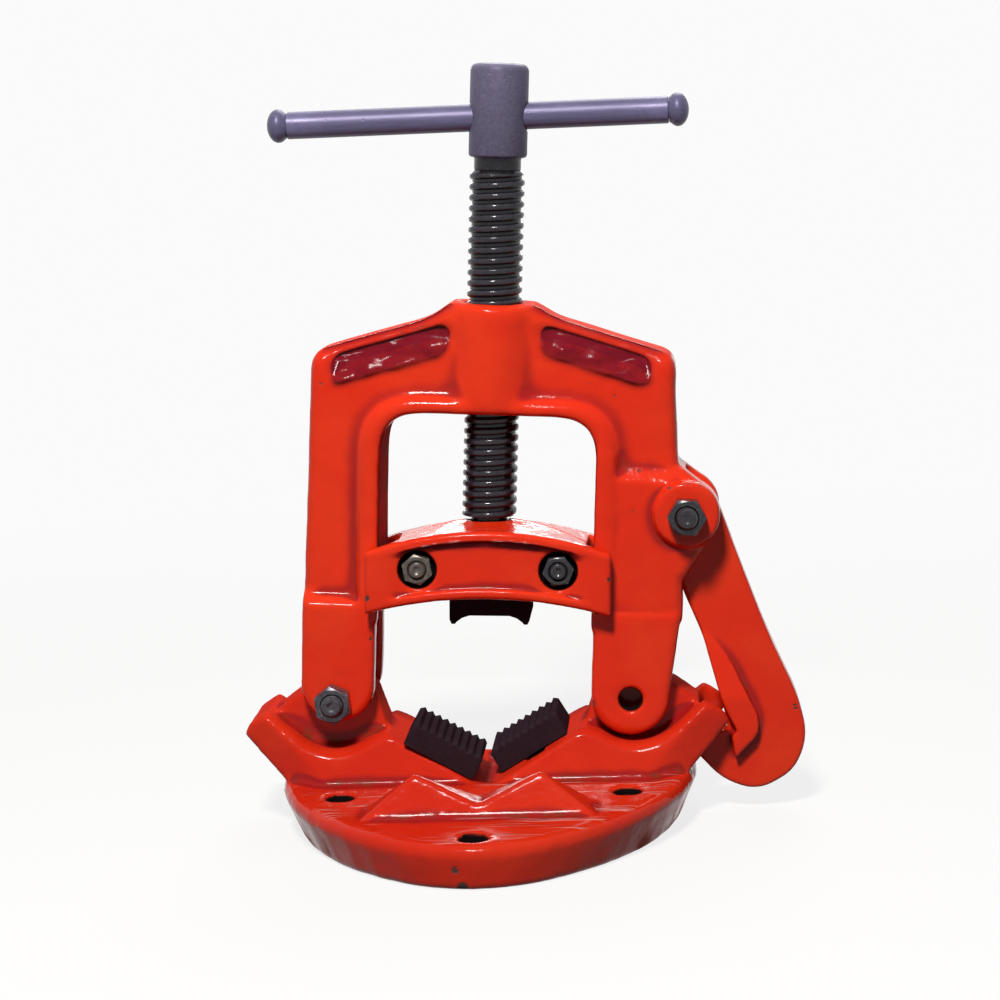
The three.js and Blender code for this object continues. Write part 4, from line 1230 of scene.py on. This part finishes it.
@dataclass
class BoltSet:
    """A hexagon bolt along Y with its nut in front; kind and side make up its solids' names."""

    kind: str
    side: str
    body: Body
    finish: Finish
    radius: float
    flats: float
    head: float
    twist: float
    corner_edge: float = 0.25
    chamfer_share: float = 0.475
    chamfer: float = math.radians(30)
    spare: float = 0.01
    bore_gap: float = 0.35
    threads: int = 9
    thread_pitch: float = 1.2
    thread_depth: float = 0.55
    span: float = 0.2
    crease: float = 30.0
    round_steps: int = 48

    def hexagon(self, front: float, rear: float, nut: bool, label: str) -> Object:
        """A hexagon with a conical chamfer.

        Args:
            front: its front face, in millimetres along Y.
            rear: its rear face.
            nut: whether the front corners are turned off, and not the rear ones.
            label: the object's name.

        Returns:
            The hexagon about the Y axis.
        """
        corner = self.flats / math.sqrt(3)
        mesh = bmesh.new()
        bmesh.ops.create_cone(mesh, cap_ends=True, segments=6, radius1=corner * MM,
                              radius2=corner * MM, depth=(rear - front) * MM)
        bmesh.ops.transform(mesh, verts=mesh.verts, matrix=Matrix.Rotation(math.pi / 6, 4, "Z"))
        ends = ((edge, *edge.verts) for edge in mesh.edges)
        upright = [edge for edge, one, other in ends if abs(one.co.z - other.co.z) > 0.1 * MM]
        bevel(mesh, upright, self.corner_edge)
        half = (rear - front) / 2
        face = self.flats * self.chamfer_share
        wide = corner + 1.0
        drop = (wide - face) * math.tan(self.chamfer)
        end = half + self.spare
        if nut:
            profile = [(0, -end), (face, -half), (wide, drop - half), (wide, end), (0, end)]
        else:
            profile = [(0, -end), (wide, -end), (wide, half - drop), (face, half), (0, end)]
        tool = to_object(turned(profile, 2 * self.round_steps), "chamfer")
        blank = boolean(to_object(mesh, label), tool, "INTERSECT")
        self.lay(blank.data, (front + rear) / 2)
        return blank

    def lay(self, data: Mesh, along: float) -> None:
        """Lays a mesh about Z along Y, its lower end in front, its middle at a millimetre mark."""
        turn = Matrix.Rotation(-math.pi / 2, 4, "X")
        data.transform(Matrix.Translation((0, along * MM, 0)) @ turn)

    def build(self) -> None:
        """Makes nut and bolt."""
        nut_low, nut_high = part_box(self.nut_node)
        bolt_low, bolt_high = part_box(self.bolt_node)
        nut = self.hexagon(nut_low.y / MM, nut_high.y / MM, True, f"{self.nut_node}_hex")
        half = (nut_high.y - nut_low.y) / MM / 2
        wide = self.radius + self.bore_gap
        tool = to_object(turned([
            (0, -half - 1), (self.radius + 1.5, -half - 1), (wide, 0.55 - half), (wide, half + 1),
            (0, half + 1),
        ], self.round_steps), "bore")
        self.lay(tool.data, (nut_low.y + nut_high.y) / 2 / MM)
        boolean(nut, tool, "DIFFERENCE")
        seat = bolt_high.y / MM - self.head
        head = self.hexagon(seat, bolt_high.y / MM, False, f"{self.bolt_node}_hex")
        shank = self.shank(bolt_low.y / MM, seat + 1.0)
        bolt = to_object(merged([head, shank]), f"{self.bolt_node}_steel")
        axis = (nut_low + nut_high) / 2
        turn = Matrix.Translation((axis.x, 0, axis.z)) @ Matrix.Rotation(self.twist, 4, "Y")
        for piece, node in ((nut, self.nut_node), (bolt, self.bolt_node)):
            piece.data.transform(turn)
            mark_relief(piece.data, 1, 1, self.span)
            dress(piece, node, self.body, self.finish, self.crease)

    def shank(self, tip: float, end: float) -> Object:
        """Turns the shank: a chamfered, dimpled and threaded tip and a plain rest.

        Args:
            tip: front end along Y, in millimetres.
            end: rear end.

        Returns:
            The shank about the Y axis.
        """
        half = (end - tip) / 2
        outer = self.radius
        profile = [
            (0, 0.7 - half), (outer * 0.25, 0.62 - half), (outer * 0.42, 0.2 - half),
            (outer * 0.5, -half), (outer * 0.74, -half), (outer * 0.86, 0.25 - half),
            (outer - 0.35, 0.9 - half),
        ]
        height = 1.3 - half
        for _ in range(self.threads):
            root = (outer - self.thread_depth, height + self.thread_pitch / 2)
            profile += [(outer, height), root]
            height += self.thread_pitch
        profile += [(outer, height), (outer, half), (0, half)]
        shank = to_object(turned(profile, self.round_steps), "shank")
        self.lay(shank.data, (tip + end) / 2)
        return shank

    @property
    def nut_node(self) -> str:
        """Name of the nut's solid."""
        return f"{self.kind}_nut{self.side}"

    @property
    def bolt_node(self) -> str:
        """Name of the bolt's solid."""
        return f"{self.kind}_bolt{self.side}"


# Stage


@dataclass(frozen=True)
class Lamp:
    """An area lamp that the camera doesn't see: its place, aim, width, height, watts and colour."""

    name: str
    place: Triple
    aim: Triple
    size: Span
    power: float
    colour: Triple

    def hang(self) -> None:
        """Makes the lamp."""
        data = bpy.data.lights.new(self.name, "AREA")
        data.shape = "RECTANGLE"
        data.size, data.size_y = self.size
        data.energy = self.power
        data.color = self.colour
        lamp = bpy.data.objects.new(self.name, data)
        lamp.location = self.place
        away = Vector(self.place) - Vector(self.aim)
        lamp.rotation_euler = away.to_track_quat("Z", "Y").to_euler()
        lamp.visible_camera = False
        bpy.context.scene.collection.objects.link(lamp)


# A high soft lamp in front, a softer one behind and a low strip for glints on the flange

LAMPS = (
    Lamp("key", (-0.12, -1.02, 1.28), (0.0, 0.0, 0.16), (0.24, 0.24), 28.0, (1.0, 0.97, 0.93)),
    Lamp("fill", (0.15, 1.10, 1.30), (0.0, 0.0, 0.12), (0.8, 0.8), 9.0, (1.0, 0.99, 0.97)),
    Lamp("strip", (-0.10, 1.55, 0.50), (0.0, -0.08, 0.03), (0.9, 0.06), 2.8, WHITE),
)


@dataclass
class Studio:
    """Floor, light and the camera at the photograph's angle."""

    eye: Triple = (0.0958, -1.2363, 0.3400)
    aim: Triple = (0.01003, 0.0, 0.15284)
    roll: float = 2.454
    focal_pixels: float = 2629.6
    picture_pixels: float = 1000.0
    sensor: float = 36.0
    ambient: float = 0.06
    backdrop: float = 0.96
    floor_size: float = 30.0
    floor_glow: float = 0.81
    floor_tone: Triple = (0.15, 0.15, 0.15)
    floor_fade: Span = (0.30, 1.10)

    def build(self) -> None:
        """Makes the stage."""
        self.camera()
        self.floor()
        for lamp in LAMPS:
            lamp.hang()
        self.world()

    def camera(self) -> None:
        """Places the camera."""
        data = bpy.data.cameras.new("camera")
        data.sensor_width = self.sensor
        data.lens = self.focal_pixels / self.picture_pixels * data.sensor_width
        camera = bpy.data.objects.new("camera", data)
        bpy.context.scene.collection.objects.link(camera)
        ahead = (Vector(self.aim) - Vector(self.eye)).normalized()
        right = ahead.cross(Vector(UPRIGHT)).normalized()
        up = right.cross(ahead)
        angle = math.radians(self.roll)
        rolled_right = right * math.cos(angle) - up * math.sin(angle)
        rolled_up = right * math.sin(angle) + up * math.cos(angle)
        turn = Matrix((rolled_right, rolled_up, -ahead)).transposed()
        camera.matrix_world = Matrix.Translation(self.eye) @ turn.to_4x4()
        bpy.context.scene.camera = camera

    def floor(self) -> None:
        """Lays a pale floor under the base, which fades into the background."""
        mesh = bmesh.new()
        bmesh.ops.create_grid(mesh, x_segments=1, y_segments=1, size=self.floor_size)
        floor = to_object(mesh, "floor")
        shader = Shader("floor_pale")
        seen = shader.seen()
        glow, far = (
            shader.node("ShaderNodeEmission", {}, {"Color": WHITE, "Strength": seen * strength})
            for strength in (self.floor_glow, self.backdrop)
        )
        matt = shader.node("ShaderNodeBsdfDiffuse", {}, {"Color": self.floor_tone})
        near = shader.node("ShaderNodeAddShader", {}, {0: glow, 1: matt})
        length = {"operation": "LENGTH"}
        away = shader.node("ShaderNodeVectorMath", length, {0: shader.place}, "Value")
        share = away.step(*self.floor_fade)
        both = shader.node("ShaderNodeMixShader", {}, {0: share, 1: near, 2: far})
        shader.end(both, "ShaderNodeOutputMaterial")
        floor.data.materials.append(shader.material)

    def world(self) -> None:
        """Fills the surroundings with even light and a white background."""
        world = bpy.data.worlds.new("surround")
        bpy.context.scene.world = world
        sky = Tree(world)
        strength = self.ambient + (self.backdrop - self.ambient) * sky.seen()
        white = sky.node("ShaderNodeBackground", {}, {"Color": WHITE, "Strength": strength})
        sky.end(white, "ShaderNodeOutputWorld")


# Holes, whose insides get painted shade, and places where knocks have taken the paint off

UPRIGHT: Triple = (0.0, 0.0, 1.0)
REARWARD: Triple = (0.0, 1.0, 0.0)
BOLT_HOLES = tuple(
    Bore((x, y, 0.0), UPRIGHT, 6.5) for x, y in ((-67.0, -52.0), (67.0, -52.0), (0.0, -117.0))
)
SPARE_HOLE = Bore(tuple(yoke_frame() @ Vector((70.3 * MM, 0.0, 6.6 * MM)) / MM), REARWARD, 5.6)
BASE_KNOCKS = ((-7.6, -130.0, 9.6, 2.6), (-4.7, -129.0, 1.5, 3.5))
YOKE_KNOCKS = ((90.2, -26.0, 160.3, 1.8), (-52.0, -24.0, 92.0, 1.8))
HOOK_KNOCKS = ((147.0, -8.0, 50.0, 2.0), (142.0, -8.0, 78.0, 1.6))
CARRIER_KNOCKS = ((-52.4, -34.0, 113.5, 2.4), (62.0, -34.0, 118.8, 2.0))


def clamp_bores() -> tuple[Bore, ...]:
    """Counterbores round the two clamp bolts of the jaw carrier."""
    boxes = [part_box(f"carrier_nut_{side}") for side in ("left", "right")]
    return tuple(Bore(tuple((low + high) / 2 / MM), REARWARD, 9.0) for low, high in boxes)


@dataclass
class PipeVise:
    """The whole vise."""

    castings: list[Casting] = field(default_factory=lambda: [
        BaseCasting("base", Body.BASE, 1.25, 9, 0.4, BOLT_HOLES, BASE_KNOCKS),
        YokeCasting("yoke", Body.YOKE, 1.1, 9, 0.4, (SPARE_HOLE,), YOKE_KNOCKS),
        Casting("latch_hook", Body.LATCH, 0.8, 8, 0.3, (), HOOK_KNOCKS),
        CarrierCasting("carrier_front", Body.CARRIER, 0.8, 8, 0.3, clamp_bores(), CARRIER_KNOCKS,
                       span=0.30),
        CarrierCasting("carrier_rear", Body.CARRIER, 0.8, 8, 0.3, clamp_bores(), span=0.30,
                       drop=4.0),
    ])
    jaws: list[Jaw] = field(default_factory=lambda: [
        Jaw("lower_jaw_left", Body.BASE),
        Jaw("lower_jaw_right", Body.BASE),
        Jaw("upper_jaw", Body.CARRIER),
    ])
    bolts: list[BoltSet] = field(default_factory=lambda: [
        BoltSet("hinge", "", Body.YOKE, Finish.BOLT, 5.0, 16.0, 6.5, 0.42),
        BoltSet("latch", "", Body.LATCH_PIN, Finish.BLACK, 5.0, 16.0, 6.5, 0.06),
        BoltSet("carrier", "_left", Body.CARRIER, Finish.BRONZED, 4.0, 13.0, 5.3, 0.35),
        BoltSet("carrier", "_right", Body.CARRIER, Finish.BLACK, 4.0, 13.0, 5.3, -0.1),
    ])
    screw: ScrewAssembly = field(default_factory=ScrewAssembly)

    def build(self) -> None:
        """Makes every piece."""
        for part in (*self.castings, *self.jaws, self.screw, *self.bolts):
            part.build()


def main() -> None:
    """Builds the studio and the vise."""
    logging.basicConfig(level=logging.INFO)
    bpy.context.scene.view_settings.view_transform = "Standard"
    Studio().build()
    PipeVise().build()


if __name__ == "__main__":
    main()
